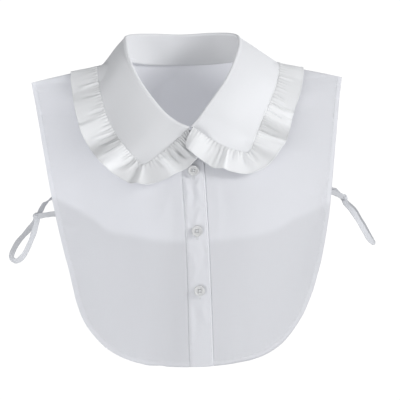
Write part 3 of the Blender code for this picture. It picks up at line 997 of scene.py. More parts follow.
@dataclass
class Panels:
    """The two front panels and the back, each one layer of cotton with a turned hem."""

    form: WornForm
    cotton: bpy.types.Material
    back_cotton: bpy.types.Material
    thread: bpy.types.Material
    wall: float = 0.45
    hem_width: float = 5.6
    hem_rise: float = 0.35
    stitch_in: float = 5.0
    band_half: float = 12.0
    tuck: float = 0.6
    lap: float = 1.4
    lap_under_band: float = 0.55
    columns: int = 92
    rows: int = 132
    back_columns: int = 180
    back_rows: int = 84
    row_power: float = 1.25
    top_fade: float = 14.0
    pucker: float = 0.22
    # Width, length and area of the cuts, in metres.
    front_cut: tuple[float, float, float] = (0.175, 0.335, 0.0432)
    back_cut: tuple[float, float, float] = (0.350, 0.225, 0.0640)
    # Below this line the front is painted darker, painted shade standing in for the back hem seen through
    # the sheer front: half width, height, left and then right.
    back_line_left: Rows = (
        (0.0, -194.0), (39.0, -191.5), (66.0, -186.0), (92.0, -180.5), (108.0, -168.5),
        (126.0, -158.0), (150.0, -146.0),
    )
    back_line_right: Rows = (
        (0.0, -194.0), (38.0, -192.7), (70.5, -189.6), (91.0, -184.0), (105.0, -177.0),
        (126.0, -171.0), (150.0, -163.0),
    )
    # Painted shade on the front below the back hem's line, on the viewer's left and right.
    shade_below_left: float = 0.90
    shade_below_right: float = 0.92
    # Painted light along the turned hem, and over the whole back.
    hem_painted_light: float = 1.05
    back_painted_light: float = 1.08
    # Painted light and shade across the front, lighter on the viewer's left: width, less than 0 on the
    # viewer's left, and factor.
    front_shading: Rows = (
        (-150.0, 1.11), (-60.0, 1.09), (-20.0, 1.0), (100.0, 1.0), (150.0, 0.97),
    )
    creases_left: tuple[Crease, ...] = (
        Crease((-145.0, -140.0), (-139.0, -168.0), (-128.0, -205.0), 7.0, -1.6),
        Crease((-147.0, -150.0), (-135.0, -154.0), (-118.0, -158.0), 5.0, -0.8),
        Crease((-144.0, -171.0), (-136.0, -176.0), (-124.0, -178.0), 4.0, 0.9),
        Crease((-130.0, -70.0), (-128.0, -110.0), (-134.0, -140.0), 12.0, 0.9),
        Crease((-110.0, -95.0), (-104.0, -130.0), (-108.0, -175.0), 14.0, -0.8),
        Crease((-60.0, -150.0), (-52.0, -200.0), (-58.0, -270.0), 16.0, 0.8),
        Crease((-90.0, -190.0), (-84.0, -240.0), (-80.0, -290.0), 13.0, -0.9),
        Crease((-28.0, -120.0), (-24.0, -170.0), (-27.0, -215.0), 7.0, -0.7),
        Crease((-20.0, -118.0), (-28.0, -150.0), (-42.0, -176.0), 5.0, 0.6),
        Crease((-122.0, -210.0), (-112.0, -245.0), (-98.0, -280.0), 6.0, -0.8),
        Crease((-25.0, -250.0), (-30.0, -285.0), (-26.0, -318.0), 6.0, -0.5),
        Crease((-150.0, -44.0), (-120.0, -42.0), (-92.0, -50.0), 7.0, 0.6),
    )
    creases_right: tuple[Crease, ...] = (
        Crease((147.0, -140.0), (141.0, -156.0), (138.0, -180.0), 3.4, -1.5),
        Crease((148.0, -158.0), (136.0, -156.0), (122.0, -148.0), 4.4, -0.8),
        Crease((146.0, -172.0), (134.0, -178.0), (120.0, -190.0), 5.0, 0.9),
        Crease((134.0, -60.0), (131.0, -95.0), (137.0, -135.0), 10.0, 0.8),
        Crease((116.0, -105.0), (108.0, -145.0), (112.0, -185.0), 13.0, -0.9),
        Crease((62.0, -145.0), (56.0, -200.0), (60.0, -262.0), 17.0, 0.9),
        Crease((36.0, -108.0), (31.0, -150.0), (34.0, -205.0), 8.0, -0.7),
        Crease((128.0, -200.0), (121.0, -236.0), (104.0, -276.0), 8.0, -1.3),
        Crease((88.0, -205.0), (84.0, -250.0), (76.0, -296.0), 12.0, 0.8),
        Crease((22.0, -130.0), (26.0, -165.0), (22.0, -195.0), 4.5, 0.5),
        Crease((150.0, -42.0), (122.0, -44.0), (96.0, -52.0), 7.0, 0.6),
        Crease((40.0, -262.0), (46.0, -292.0), (43.0, -318.0), 7.0, -0.5),
    )
    creases_back: tuple[Crease, ...] = (
        Crease((-140.0, -150.0), (-112.0, -140.0), (-84.0, -120.0), 8.0, -1.3),
        Crease((138.0, -152.0), (114.0, -146.0), (90.0, -130.0), 7.0, -1.4),
        Crease((-138.0, -158.0), (-116.0, -160.0), (-92.0, -152.0), 6.0, 1.1),
        Crease((140.0, -146.0), (120.0, -132.0), (106.0, -108.0), 7.0, 1.1),
        Crease((-62.0, -28.0), (-52.0, -90.0), (-58.0, -165.0), 14.0, -1.0),
        Crease((66.0, -30.0), (60.0, -96.0), (54.0, -180.0), 15.0, -1.1),
        Crease((-12.0, -40.0), (-8.0, -110.0), (-16.0, -195.0), 18.0, 0.9),
        Crease((-44.0, -16.0), (-2.0, -26.0), (42.0, -15.0), 6.0, -0.8),
        Crease((-100.0, -50.0), (-96.0, -95.0), (-104.0, -140.0), 11.0, 0.8),
        Crease((104.0, -48.0), (100.0, -90.0), (96.0, -118.0), 10.0, 0.8),
        Crease((28.0, -90.0), (34.0, -140.0), (26.0, -200.0), 9.0, -0.8),
    )

    def __post_init__(self) -> None:
        """Measure both hems once."""
        self.front_hem_line = HemLine(self.form, True)
        self.back_hem_line = HemLine(self.form, False)

    def hem_lift(self, gap: float, along: float, turn: float) -> float:
        """Give the rise of the turned hem and its puckers.

        Args:
            gap: the distance from the edge.
            along: the length along the edge.
            turn: shifts the puckers, so that no two hems are alike.

        Returns:
            The lift in millimetres.
        """
        rise = self.hem_rise * (1.0 - smoothstep((gap - self.hem_width + 0.9) / 1.8))
        wave = math.sin(along * 0.83 + turn) + 0.7 * math.sin(along * 1.37 + 2.1 * turn)
        wave += 0.8 * math.sin(along * 0.31 + 0.7 * turn)
        near = math.exp(-((gap - self.stitch_in) / 4.0) ** 2)
        return rise + self.pucker * wave * near * 0.6

    def front_spot(self, x: float, z: float, lift: float, side: Side) -> Spot:
        """Give a point of a front panel.

        Args:
            x: the width, less than 0 on the viewer's left.
            z: the height.
            lift: the height over the form.
            side: which panel.

        Returns:
            The point with its hem distance and its painted shade and light.
        """
        gap, along = self.front_hem_line.measure(abs(x), z)
        left = side is Side.VIEWER_LEFT
        creases = self.creases_left if left else self.creases_right
        near_top = smoothstep((self.form.top_at(abs(x), True)[0] - z) / self.top_fade)
        lift += total_lift(creases, x, z) * near_top
        lift += self.hem_lift(gap, along, 0.4 if left else 1.9)
        place = self.form.raised(x, z, lift)
        # Painted shade below the back hem's line, painted light along the hem and across the viewer's left.
        line = table_value(self.back_line_left if left else self.back_line_right, abs(x))
        below = smoothstep((line - z + 4.5) / 9.0)
        under = self.shade_below_left if left else self.shade_below_right
        tone = table_value(self.front_shading, x) * (1.0 + (under - 1.0) * below)
        tone *= 1.0 + (self.hem_painted_light - 1.0) * (1.0 - smoothstep((gap - 4.6) / 1.2))
        return Spot(place, gap, tone, x, z)

    def front_grid(self, side: Side) -> ClothGrid:
        """Lay out a front panel.

        Args:
            side: VIEWER_LEFT for the panel that laps over.

        Returns:
            The panel's outer surface.
        """
        left = side is Side.VIEWER_LEFT
        outline = self.form.outline(True, self.band_half - self.tuck)

        def place(column: int, row: int) -> Spot:
            """Give a point, the columns closer together near the middle."""
            u = column / (self.columns - 1)
            u = 1.0 - u if left else u
            u = u + 0.10 * math.sin(math.pi * u) * u
            flat = outline(min(u, 1.0), (row / (self.rows - 1)) ** self.row_power)
            if not left:
                return self.front_spot(flat.x, flat.z, 0.0, side)
            lift = self.lap * (1.0 - smoothstep(u))
            lift -= self.lap_under_band * (1.0 - smoothstep((flat.x - self.band_half) / 2.0))
            return self.front_spot(-flat.x, flat.z, lift, side)

        return ClothGrid(self.columns, self.rows, place)

    def back_spot(self, x: float, z: float) -> Spot:
        """Give a point of the back panel.

        Args:
            x: the width, less than 0 on the viewer's left.
            z: the height.

        Returns:
            The point with its hem distance and its painted light.
        """
        gap, along = self.back_hem_line.measure(abs(x), z)
        near_top = smoothstep((self.form.top_at(abs(x), False)[0] - z) / self.top_fade)
        lift = total_lift(self.creases_back, x, z) * near_top
        lift += self.hem_lift(gap, along, 3.3 if x > 0.0 else 5.1)
        return Spot(self.form.raised(x, z, lift, False), gap, self.back_painted_light, x, z)

    def back_grid(self) -> ClothGrid:
        """Lay out the back panel from the viewer's right to the left."""
        outline = self.form.outline(False, 0.001)

        def place(column: int, row: int) -> Spot:
            """Give a point of either half."""
            u = 2.0 * column / (self.back_columns - 1) - 1.0
            share = abs(u)
            flat = outline(share, (row / (self.back_rows - 1)) ** self.row_power)
            return self.back_spot(-flat.x if u > 0.0 else flat.x, flat.z)

        return ClothGrid(self.back_columns, self.back_rows, place)

    def hem_stitches(self, front: bool, side: float) -> Line:
        """Give the line of the hem's stitches on one half.

        Args:
            front: True for the front.
            side: 1 for the viewer's right, -1 for the left.

        Returns:
            Points with the way off the cloth.
        """
        route = (self.front_hem_line if front else self.back_hem_line).route
        count = int(route.length / 1.5)
        line = []
        for index in range(2, count - 1):
            along = route.tangent(index / count)
            inward = Vector((-abs(along.z), 0.0, abs(along.x))).normalized()
            flat = route.at(index / count) + inward * self.stitch_in
            x = side * flat.x
            if not front:
                base = self.back_spot(x, flat.z).place
            elif flat.x < self.band_half + 0.4:
                continue
            elif side < 0.0:
                lift = self.lap * (1.0 - smoothstep(self.share_across(flat)))
                base = self.front_spot(x, flat.z, lift, Side.VIEWER_LEFT).place
            else:
                base = self.front_spot(x, flat.z, 0.0, Side.VIEWER_RIGHT).place
            line.append((base, self.form.normal(x, flat.z, front)))
        return line

    def share_across(self, flat: Vector) -> float:
        """Tell roughly how far across its half a point beside the hem lies.

        Args:
            flat: the point's half width and height.

        Returns:
            The share, 0 at the band and 1 at the side.
        """
        form = self.form
        start = self.band_half - self.tuck
        side_z, side_x, _ = form.front_hem[0]
        along_hem = min((flat.x - start) / (side_x - start), 1.0)
        if flat.z <= side_z:
            return along_hem
        width = max(table_value(form.front_side, flat.z), start + 1.0)
        return max(along_hem, (flat.x - start) / (width - start))

    def build(self) -> BVHTree:
        """Make the panels and their stitches.

        Returns:
            A search tree of the panels' outer surfaces.
        """
        left, right = self.front_grid(Side.VIEWER_RIGHT), self.front_grid(Side.VIEWER_LEFT)
        panels = (
            ("cotton_front_left", "front_left_panel", left, self.cotton, self.front_cut),
            ("cotton_front_right", "front_right_panel", right, self.cotton, self.front_cut),
            ("cotton_back", "back_panel", self.back_grid(), self.back_cotton, self.back_cut),
        )
        whole = Stock()
        for name, node, grid, cloth, (width, length, area) in panels:
            piece = grid.build(name, cloth, self.wall)
            dress(piece, (node,))
            whole.add([spot.place for spot in grid.spots], grid.faces())
        for word, front in (("front", True), ("back", False)):
            lines = [self.hem_stitches(front, side) for side in (1.0, -1.0)]
            stitches(f"stitches_{word}_hem", lines, self.thread)
        return BVHTree.FromPolygons(whole.points, whole.faces)


# Button bands.


@dataclass
class ButtonBands:
    """The lower and the upper button band down the middle of the front."""

    form: WornForm
    cotton: bpy.types.Material
    thread: bpy.types.Material
    half: float = 12.0
    lap: float = 1.4
    under_drop: float = 0.5
    wall: float = 0.7
    columns: int = 27
    rows: int = 190
    stitch_in: float = 1.8
    edge_round: float = 0.8
    crease_gain: float = 1.7
    # Painted highlight along the upper band's right-hand edge.
    rim_highlight: float = 1.13
    creases: tuple[Crease, ...] = (
        Crease((-11.0, -119.0), (-4.0, -128.0), (8.0, -133.0), 3.0, -0.7),
        Crease((-10.0, -130.0), (-7.0, -142.0), (-9.0, -156.0), 2.4, 0.6),
        Crease((9.0, -122.0), (3.0, -136.0), (6.0, -152.0), 3.0, 0.7),
        Crease((-3.0, -134.0), (-1.0, -146.0), (-4.0, -160.0), 2.6, -0.6),
        Crease((7.0, -158.0), (2.0, -166.0), (-2.0, -178.0), 3.0, 0.5),
        Crease((-9.0, -170.0), (-5.0, -182.0), (-8.0, -196.0), 2.6, -0.5),
        Crease((4.0, -190.0), (7.0, -206.0), (4.0, -224.0), 3.2, -0.5),
        Crease((-6.0, -205.0), (-3.0, -222.0), (-6.0, -238.0), 3.0, 0.5),
        Crease((5.0, -250.0), (2.0, -264.0), (6.0, -282.0), 3.2, 0.5),
        Crease((-7.0, -255.0), (-4.0, -275.0), (-6.0, -300.0), 3.0, -0.4),
    )

    def spot(self, x: float, z: float, lift: float) -> Spot:
        """Give a point of a band.

        Args:
            x: the width from the middle.
            z: the height.
            lift: the height over the form.

        Returns:
            The point with its distance from the sides.
        """
        gap = self.half - abs(x)
        lift -= self.edge_round * (1.0 - smoothstep(gap / 0.9))
        lift -= 0.18 * math.exp(-((gap - self.stitch_in) / 0.8) ** 2)
        wave = math.sin(z * 0.71) + 0.8 * math.sin(z * 1.17 + 1.0) + 0.6 * math.sin(z * 0.37)
        lift += 0.10 * wave * math.exp(-((gap - self.stitch_in) / 2.2) ** 2)
        lift += self.crease_gain * total_lift(self.creases, x, z)
        # Painted shading: lighter above, darker below the back hem's height, and a painted highlight along
        # the right-hand edge.
        tone = 1.05 - 0.04 * smoothstep((-180.0 - z) / 40.0)
        if x > 0.0:
            tone *= 1.0 + (self.rim_highlight - 1.0) * (1.0 - smoothstep((gap - 0.6) / 1.4))
        return Spot(self.form.raised(x, z, lift), gap + 3.3, tone, x, z)

    def grid(self, lift: float, half: float) -> ClothGrid:
        """Lay out a band.

        Args:
            lift: its height over the form.
            half: its half width.

        Returns:
            The band's outer surface.
        """
        hem = self.form.rim(self.form.front_hem).at(1.0).z

        def place(column: int, row: int) -> Spot:
            """Give a point between the neck seam and the hem."""
            x = half * (2.0 * column / (self.columns - 1) - 1.0)
            top = self.form.neck_point(math.degrees(math.asin(abs(x) / self.form.neck_half_width))).z
            low = hem + 0.4 * (abs(x) / half) ** 2
            return self.spot(x, top + (low - top) * row / (self.rows - 1), lift)

        return ClothGrid(self.columns, self.rows, place)

    def build(self) -> None:
        """Make both bands and the upper one's two rows of stitches."""
        bands = (
            ("cotton_under_band", "under_placket", -self.under_drop, self.half + 0.5),
            ("cotton_top_band", "top_placket", self.lap, self.half),
        )
        for name, node, lift, half in bands:
            piece = self.grid(lift, half).build(name, self.cotton, self.wall)
            dress(piece, (node,))
        heights = [-80.0 - step * 1.53 for step in range(160)]
        lines = []
        for x in (self.stitch_in - self.half, self.half - self.stitch_in):
            lines.append([(self.spot(x, z, self.lap).place, self.form.normal(x, z)) for z in heights])
        stitches("stitches_band", lines, self.thread)


# Buttons.


@dataclass
class Buttons:
    """Four pearly buttons, their buttonholes and the thread that holds them."""

    form: WornForm
    bands: ButtonBands
    pearl: bpy.types.Material
    thread: bpy.types.Material
    diameter: float = 11.5
    thickness: float = 2.4
    hole: float = 1.5
    hole_spread: float = 1.6
    strand_radius: float = 0.17
    seam_gap: float = 0.3
    slit: float = 15.0
    heights: tuple[float, ...] = (-89.0, -121.0, -183.0, -245.0)
    names: tuple[str, ...] = ("neck_button", "button_1", "button_2", "button_3")

    def shape(self) -> bpy.types.Object:
        """Turn one button: a disc with a raised rim, a dished face and four holes.

        Returns:
            The button at the origin, its face towards +Z.
        """
        deselect_all()
        bpy.ops.mesh.primitive_cylinder_add(
            vertices=56,
            radius=0.5 * self.diameter * MM,
            depth=self.thickness * MM,
            location=(0.0, 0.0, 0.5 * self.thickness * MM),
        )
        button = bpy.context.active_object
        bpy.ops.object.transform_apply(location=True, rotation=True, scale=True)
        self.select_face(button, top=True)
        bpy.ops.mesh.inset(thickness=1.15 * MM, depth=0.0)
        bpy.ops.mesh.inset(thickness=0.35 * MM, depth=-0.55 * MM)
        bpy.ops.mesh.inset(thickness=1.2 * MM, depth=-0.12 * MM)
        bpy.ops.object.mode_set(mode="OBJECT")
        self.select_face(button, top=False)
        bpy.ops.mesh.inset(thickness=1.0 * MM, depth=0.0)
        bpy.ops.transform.translate(value=(0.0, 0.0, -0.05 * MM))
        bpy.ops.object.mode_set(mode="OBJECT")
        rounding = button.modifiers.new("rounding", "BEVEL")
        rounding.width = 0.45 * MM
        rounding.segments = 4
        rounding.limit_method = "ANGLE"
        rounding.angle_limit = math.radians(28)
        apply_modifiers(button)
        for index in range(4):
            angle = math.radians(45 + 90 * index)
            deselect_all()
            bpy.ops.mesh.primitive_cylinder_add(
                vertices=20,
                radius=0.5 * self.hole * MM,
                depth=3 * self.thickness * MM,
                location=(
                    self.hole_spread * math.cos(angle) * MM,
                    self.hole_spread * math.sin(angle) * MM,
                    0.0,
                ),
            )
            drill = bpy.context.active_object
            cut = button.modifiers.new("hole", "BOOLEAN")
            cut.operation = "DIFFERENCE"
            cut.object = drill
            apply_modifiers(button)
            bpy.data.objects.remove(drill, do_unlink=True)
        return button

    def select_face(self, button: bpy.types.Object, top: bool) -> None:
        """Select the button's large upper or lower face, in edit mode."""
        make_active(button)
        bpy.ops.object.mode_set(mode="EDIT")
        bpy.ops.mesh.select_mode(type="FACE")
        work = bmesh.from_edit_mesh(button.data)
        way = 1.0 if top else -1.0
        flat = [face for face in work.faces if face.normal.z * way > 0.9]
        largest = max(flat, key=lambda face: face.calc_area())
        for face in work.faces:
            face.select_set(face is largest)
        bmesh.update_edit_mesh(button.data)

    def seat(self, height: float) -> Matrix:
        """Give a button's place on the upper band.

        Args:
            height: the button's height in millimetres.

        Returns:
            The matrix, in metres, that sets it there.
        """
        out = self.form.normal(0.0, height)
        base = self.bands.spot(0.0, height, self.bands.lap).place + out * self.seam_gap
        return Matrix.Translation(base * MM) @ out.to_track_quat("Z", "Y").to_matrix().to_4x4()

    def cross_threads(self) -> Stock:
        """Lay the thread that crosses the four holes of a button at the origin.

        Returns:
            Two crossed bundles of three strands.
        """
        stock = Stock()
        steps, sides, radius = 9, 6, self.strand_radius
        for turn in (0, 1):
            angle = math.radians(45 + 90 * turn)
            along = Vector((math.cos(angle), math.sin(angle), 0.0))
            across = Vector((-along.y, along.x, 0.0))
            for strand in (-1.3, 0.0, 1.3):
                points = []
                for step in range(steps):
                    part = 2.0 * step / (steps - 1) - 1.0
                    rise = 1.9 + 0.55 * math.cos(0.5 * math.pi * part ** 2) + 0.3 * turn
                    rise -= 1.6 * max(abs(part) - 0.86, 0.0) / 0.14
                    centre = along * part * self.hole_spread * 1.12
                    centre += across * strand * radius * 1.3
                    centre.z = rise
                    points += ring(centre, across, Vector((0.0, 0.0, 1.0)), radius, sides)
                stock.add(points, tube_faces(steps, sides))
        return stock

    def buttonhole(self, height: float, stock: Stock) -> None:
        """Lay the satin stitches round a buttonhole.

        Args:
            height: the height of the slit's middle.
            stock: takes the stitches.
        """
        count = 46
        patch = [(a, a + 3, a + 4, a + 1) for row in (0, 3, 6) for a in (row, row + 1)]
        for side in (-1.0, 1.0):
            faces = patch if side < 0 else [tuple(reversed(face)) for face in patch]
            for index in range(count):
                z = height - 0.5 * self.slit + self.slit * index / (count - 1)
                inner, outer = [self.bands.spot(side * x, z, self.bands.lap).place for x in (0.22, 1.25)]
                normal = self.form.normal(0.0, z)
                up = normal.cross((outer - inner).normalized()).normalized() * 0.15
                points = []
                for part, rise in ((0.0, -0.1), (0.12, 0.26), (0.88, 0.26), (1.0, -0.1)):
                    centre = inner.lerp(outer, part)
                    points.append(centre - up + normal * (rise - 0.05))
                    points.append(centre + normal * (rise + 0.08))
                    points.append(centre + up + normal * (rise - 0.05))
                stock.add(points, faces)

    def build(self) -> None:
        """Set the buttons, their threads and the buttonholes."""
        pattern = self.shape()
        pattern.data.materials.clear()
        pattern.data.materials.append(self.pearl)
        tread = self.cross_threads()
        holes = Stock()
        for name, height in zip(self.names, self.heights):
            place = self.seat(height)
            button = bpy.data.objects.new(f"pearl_{name}", pattern.data.copy())
            bpy.context.scene.collection.objects.link(button)
            settle(button, place)
            make_active(button)
            bpy.ops.object.shade_smooth_by_angle(angle=math.radians(35))
            dress(button, (name,))
            sewn = add_mesh(f"thread_{name}", tread.points, tread.faces, self.thread)
            settle(sewn, place)
            dress(sewn)
            self.buttonhole(height - 1.2, holes)
        bpy.data.objects.remove(pattern, do_unlink=True)
        dress(add_mesh("buttonhole_stitches", holes.points, holes.faces, self.thread))


# Collar and ruffle.


@dataclass
class Collar:
    """The one-piece collar: a stand, the roll at its top and the fall."""

    form: WornForm
    cotton: bpy.types.Material
    thread: bpy.types.Material
    tree: BVHTree
    stand_share: float = 0.26
    roll_share: float = 0.38
    roll: float = 1.9
    lean: float = 3.5
    lift: float = 4.2
    crown: float = 3.0
    flat_share: float = 0.5
    clearance: float = 2.6
    stand_crown: float = 1.0
    stand_inset: float = 0.9
    wall: float = 0.9
    columns: int = 260
    rows: int = 62
    stations_across: float = 26.0
    stations_down: float = 12.0
    corner_round: float = 0.75
    # Painted light and shade: a highlight on the roll, shade on the stand's far half and a highlight along
    # the edge.
    stitch_in: float = 1.6
    rim_highlight: float = 1.16
    stand_shade: float = 0.2
    bead_highlight: float = 1.12
    # Painted shade on the viewer's left of the fall and painted light on the right: share from the viewer's
    # left end, factor.
    fall_shading: Rows = (
        (0.0, 0.93), (0.12, 0.90), (0.30, 0.88), (0.40, 0.93), (0.50, 1.00), (0.68, 1.09), (1.0, 1.05),
    )
    # Fold: neck angle, x and z on the viewer's left, x and z on the right, y.
    fold_rows: Rows = (
        (2.5, 1.6, -74.4, 0.2, -74.0, -61.0), (14.0, 16.0, -67.6, 10.6, -62.6, -58.0),
        (30.0, 31.3, -53.4, 19.6, -51.6, -52.0), (53.0, 50.0, -25.0, 42.6, -24.0, -35.0),
        (74.0, 60.0, 0.0, 56.4, 0.5, -15.0), (94.0, 62.8, 16.0, 61.4, 16.5, 6.0),
        (116.0, 60.0, 24.2, 57.5, 23.8, 30.0), (147.0, 34.0, 25.4, 34.0, 25.2, 50.0),
        (180.0, 0.0, 23.8, 0.0, 23.8, 57.0),
    )
    # Edge: x, z on the viewer's left, x, z on the right, and y where it has left the front.
    edge_rows: tuple[tuple, ...] = (
        (52.5, -116.0, 61.5, -106.0, None), (62.5, -106.5, 66.5, -94.5, None),
        (71.5, -95.0, 71.5, -81.0, None), (86.5, -69.0, 83.5, -56.0, None),
        (95.0, -37.0, 95.5, -31.0, None), (96.0, -13.0, 100.0, -9.0, 7.0),
        (89.0, -15.0, 91.0, -15.0, 40.0), (53.0, -22.0, 53.0, -22.0, 64.0),
        (0.0, -25.0, 0.0, -25.0, 74.0),
    )
    # How far the stand's inner layer reaches below the neck seam: neck angle, drop.
    stand_drops: Rows = (
        (0.0, 0.0), (70.0, 0.5), (94.0, 3.0), (120.0, 5.0), (147.0, 4.2), (180.0, 3.0),
    )
    # The front ends bow down between fold and corner, on the viewer's left and right.
    end_bow: tuple[float, float] = (3.5, 5.5)
    end_bow_reach: float = 1.6
    # Soft dents and swells of the fall: share, down, half width in each, height.
    dents: Rows = (
        (0.045, 0.93, 0.022, 0.10, -0.9), (0.06, 0.70, 0.05, 0.16, 0.5),
        (0.13, 0.80, 0.05, 0.14, -0.4), (0.22, 0.72, 0.06, 0.16, 0.4),
        (0.953, 0.90, 0.016, 0.07, -1.3), (0.935, 0.72, 0.04, 0.15, 0.6),
        (0.86, 0.78, 0.05, 0.15, -0.5), (0.77, 0.74, 0.06, 0.15, 0.5), (0.34, 0.75, 0.04, 0.15, -0.5),
        (0.42, 0.70, 0.05, 0.14, 0.5), (0.51, 0.76, 0.05, 0.15, -0.5), (0.60, 0.72, 0.05, 0.15, 0.5),
        (0.68, 0.76, 0.04, 0.13, -0.4),
    )

    def __post_init__(self) -> None:
        """Draw the three curves that carry the collar."""
        halves = [self.stations(-1.0), self.stations(1.0)]
        curves = []
        for near, far in zip(*halves):
            points = near[:-1] + [(near[-1] + far[-1]) * 0.5] + list(reversed(far[:-1]))
            curves.append(smooth_path(points, 16))
        self.base_curve, self.fold_curve, self.edge_curve = curves
        self.last = len(self.fold_curve) - 1

    def stations(self, side: float) -> tuple[list[Vector], list[Vector], list[Vector]]:
        """Give one half of the collar.

        Args:
            side: 1 for the viewer's right, -1 for the left.

        Returns:
            The points of its base, its fold and its edge.
        """
        base, fold, edge = [], [], []
        shrink = 1.0 - self.stand_inset / self.form.neck_half_width
        for fold_row, edge_row in zip(self.fold_rows, self.edge_rows):
            angle, left_fold, left_top, right_fold, right_top, y = fold_row
            left_x, left_z, right_x, right_z, back_y = edge_row
            foot = self.form.neck_point(angle, side) * shrink
            foot.z = self.form.neck_point(angle).z - table_value(self.stand_drops, angle)
            base.append(foot)
            x, z = (left_fold, left_top) if side < 0 else (right_fold, right_top)
            lean = self.lean * smoothstep((z + 72.0) / 80.0)
            fold.append(Vector((side * x - lean, y, z)))
            edge_x = left_x if side < 0 else right_x
            edge_z = left_z if side < 0 else right_z
            if back_y is None:
                edge.append(self.form.raised(side * edge_x, edge_z, self.lift))
            else:
                edge.append(Vector((side * edge_x, back_y, edge_z)))
        return base, fold, edge

    def read(self, curve: list[Vector], share: float) -> Vector:
        """Read a curve at a share of its stations."""
        place = min(max(share, 0.0), 1.0) * self.last
        index = min(int(place), self.last - 1)
        return curve[index].lerp(curve[index + 1], place - index)

    def at(self, share: float, down: float) -> Vector:
        """Give the outer surface.

        Args:
            share: from the viewer's left end, 0, round to the other, 1.
            down: 0 at the neck seam and 1 at the edge.

        Returns:
            The point on the collar.
        """
        base = self.read(self.base_curve, share)
        fold = self.read(self.fold_curve, share)
        edge = self.read(self.edge_curve, share)
        step = 0.5 / self.last
        tangent = self.read(self.fold_curve, share + step)
        tangent -= self.read(self.fold_curve, share - step)
        tangent.normalize()
        up = Vector((0.0, 0.0, 1.0))
        up = (up - tangent * up.dot(tangent)).normalized()
        out = tangent.cross(up)
        if out.dot(edge - fold) < 0.0:
            out.negate()
        centre = fold - up * self.roll
        if down <= self.stand_share:
            part = down / self.stand_share
            crown = math.sin(math.pi * part) * self.stand_crown
            return base.lerp(centre - out * self.roll, part) + out * crown
        if down <= self.roll_share:
            part = (down - self.stand_share) / (self.roll_share - self.stand_share)
            angle = math.pi * (1.0 - part)
            return centre + (out * math.cos(angle) + up * math.sin(angle)) * self.roll
        part = (down - self.roll_share) / (1.0 - self.roll_share)
        crown = math.sin(math.pi * part ** 0.8) * self.crown
        crown *= 1.0 - (1.0 - self.flat_share) * smoothstep((edge.z + 60.0) / 40.0)
        crown += self.dent(share, down)
        spot = (centre + out * self.roll).lerp(edge, part) + (out + up * 0.3).normalized() * crown
        near = 1.0 - smoothstep(min(share, 1.0 - share) * 16.0 / self.end_bow_reach)
        spot.z -= self.end_bow[0 if share < 0.5 else 1] * math.sin(math.pi * part) * near
        return spot

    def dent(self, share: float, down: float) -> float:
        """Add up the dents and swells of the fall."""
        total = 0.0
        for at_share, at_down, wide, high, height in self.dents:
            gap = ((share - at_share) / wide) ** 2 + ((down - at_down) / high) ** 2
            total += height * math.exp(-gap)
        return total

    def point(self, share: float, down: float) -> Vector:
        """Give the finished surface, its front corners rounded, clear of the panels."""
        near = min(share, 1.0 - share) * self.stations_across / self.corner_round
        low = (1.0 - down) * self.stations_down / self.corner_round
        if near < 1.0 and low < 1.0:
            a, b = 1.0 - near, 1.0 - low
            near = 1.0 - a * math.sqrt(1.0 - 0.5 * b * b)
            low = 1.0 - b * math.sqrt(1.0 - 0.5 * a * a)
            end = near * self.corner_round / self.stations_across
            share = end if share < 0.5 else 1.0 - end
            down = 1.0 - low * self.corner_round / self.stations_down
        spot = self.at(share, down)
        if down <= self.roll_share:
            return spot
        return kept_clear(spot, self.tree, self.clearance)

    def seam(self) -> Route:
        """Follow the collar's edge from one neck end round to the other."""
        downs = [self.roll_share + (1.0 - self.roll_share) * step / 60 for step in range(60)]
        places = [(0.0, down) for down in downs]
        places += [(step / 500, 1.0) for step in range(501)]
        places += [(1.0, down) for down in reversed(downs)]
        return Route([self.point(share, down) for share, down in places])

    def build(self) -> None:
        """Make the collar and the stitches beside its edge."""

        def place(column: int, row: int) -> Spot:
            """Give a point from the neck seam over the roll to the edge."""
            share = 1.0 - column / (self.columns - 1)
            down = row / (self.rows - 1)
            end = min(share, 1.0 - share) * 560.0
            gap = min((1.0 - down) * 95.0, end) if down > self.roll_share else 20.0
            where = self.point(share, down)
            # Painted shading: light and shade across the fall, shade on the stand's far half, highlights on
            # the roll and along the edge.
            tone = 1.0
            if down > self.roll_share:
                tone = table_value(self.fall_shading, share)
            if down < self.stand_share:
                tone = 1.0 - self.stand_shade * smoothstep((share - 0.47) / 0.1)
            if self.stand_share < down < self.stand_share + 0.075:
                tone = 1.0 + (self.rim_highlight - 1.0) * (1.0 - smoothstep((share - 0.16) / 0.16))
            if row == self.rows - 1:
                tone *= self.bead_highlight
            return Spot(where, gap + 3.4, tone, share * 600.0, down * 130.0)

        piece = ClothGrid(self.columns, self.rows, place).build("cotton_collar", self.cotton, self.wall)
        dress(piece, ("collar",))
        line = []
        for step in range(2, 399):
            share = step / 400
            down = 1.0 - self.stitch_in / 95.0
            here = self.point(share, down)
            along = self.point(share + 0.001, down) - self.point(share - 0.001, down)
            across = self.point(share, down + 0.01) - self.point(share, down - 0.01)
            normal = across.cross(along).normalized()
            line.append((here, -normal if self.faces_in(here, normal) else normal))
        stitches("stitches_collar_edge", [line], self.thread)

    def faces_in(self, point: Vector, normal: Vector) -> bool:
        """Tell whether a normal points towards the panels below."""
        _, out, _, _ = self.tree.find_nearest(point)
        return out.dot(normal) < 0.0


def kept_clear(point: Vector, tree: BVHTree, gap: float, past_edge: float = 4.0) -> Vector:
    """Move a point out until it clears the cloth below it.

    Args:
        point: the point.
        tree: the cloth below.
        gap: the least distance to keep.
        past_edge: how far beyond the cloth's edge the push dies away.

    Returns:
        The point, moved if it was too near.
    """
    place, normal, _, _ = tree.find_nearest(point)
    off = point - place
    height = off.dot(normal)
    if height >= gap:
        return point
    beyond = (off - normal * height).length
    return point + normal * (gap - height) * (1.0 - smoothstep(beyond / past_edge))


class Gather(NamedTuple):
    """One small gather at the seam: where it starts and ends, its height and its reach."""

    start: float
    end: float
    height: float
    reach: float


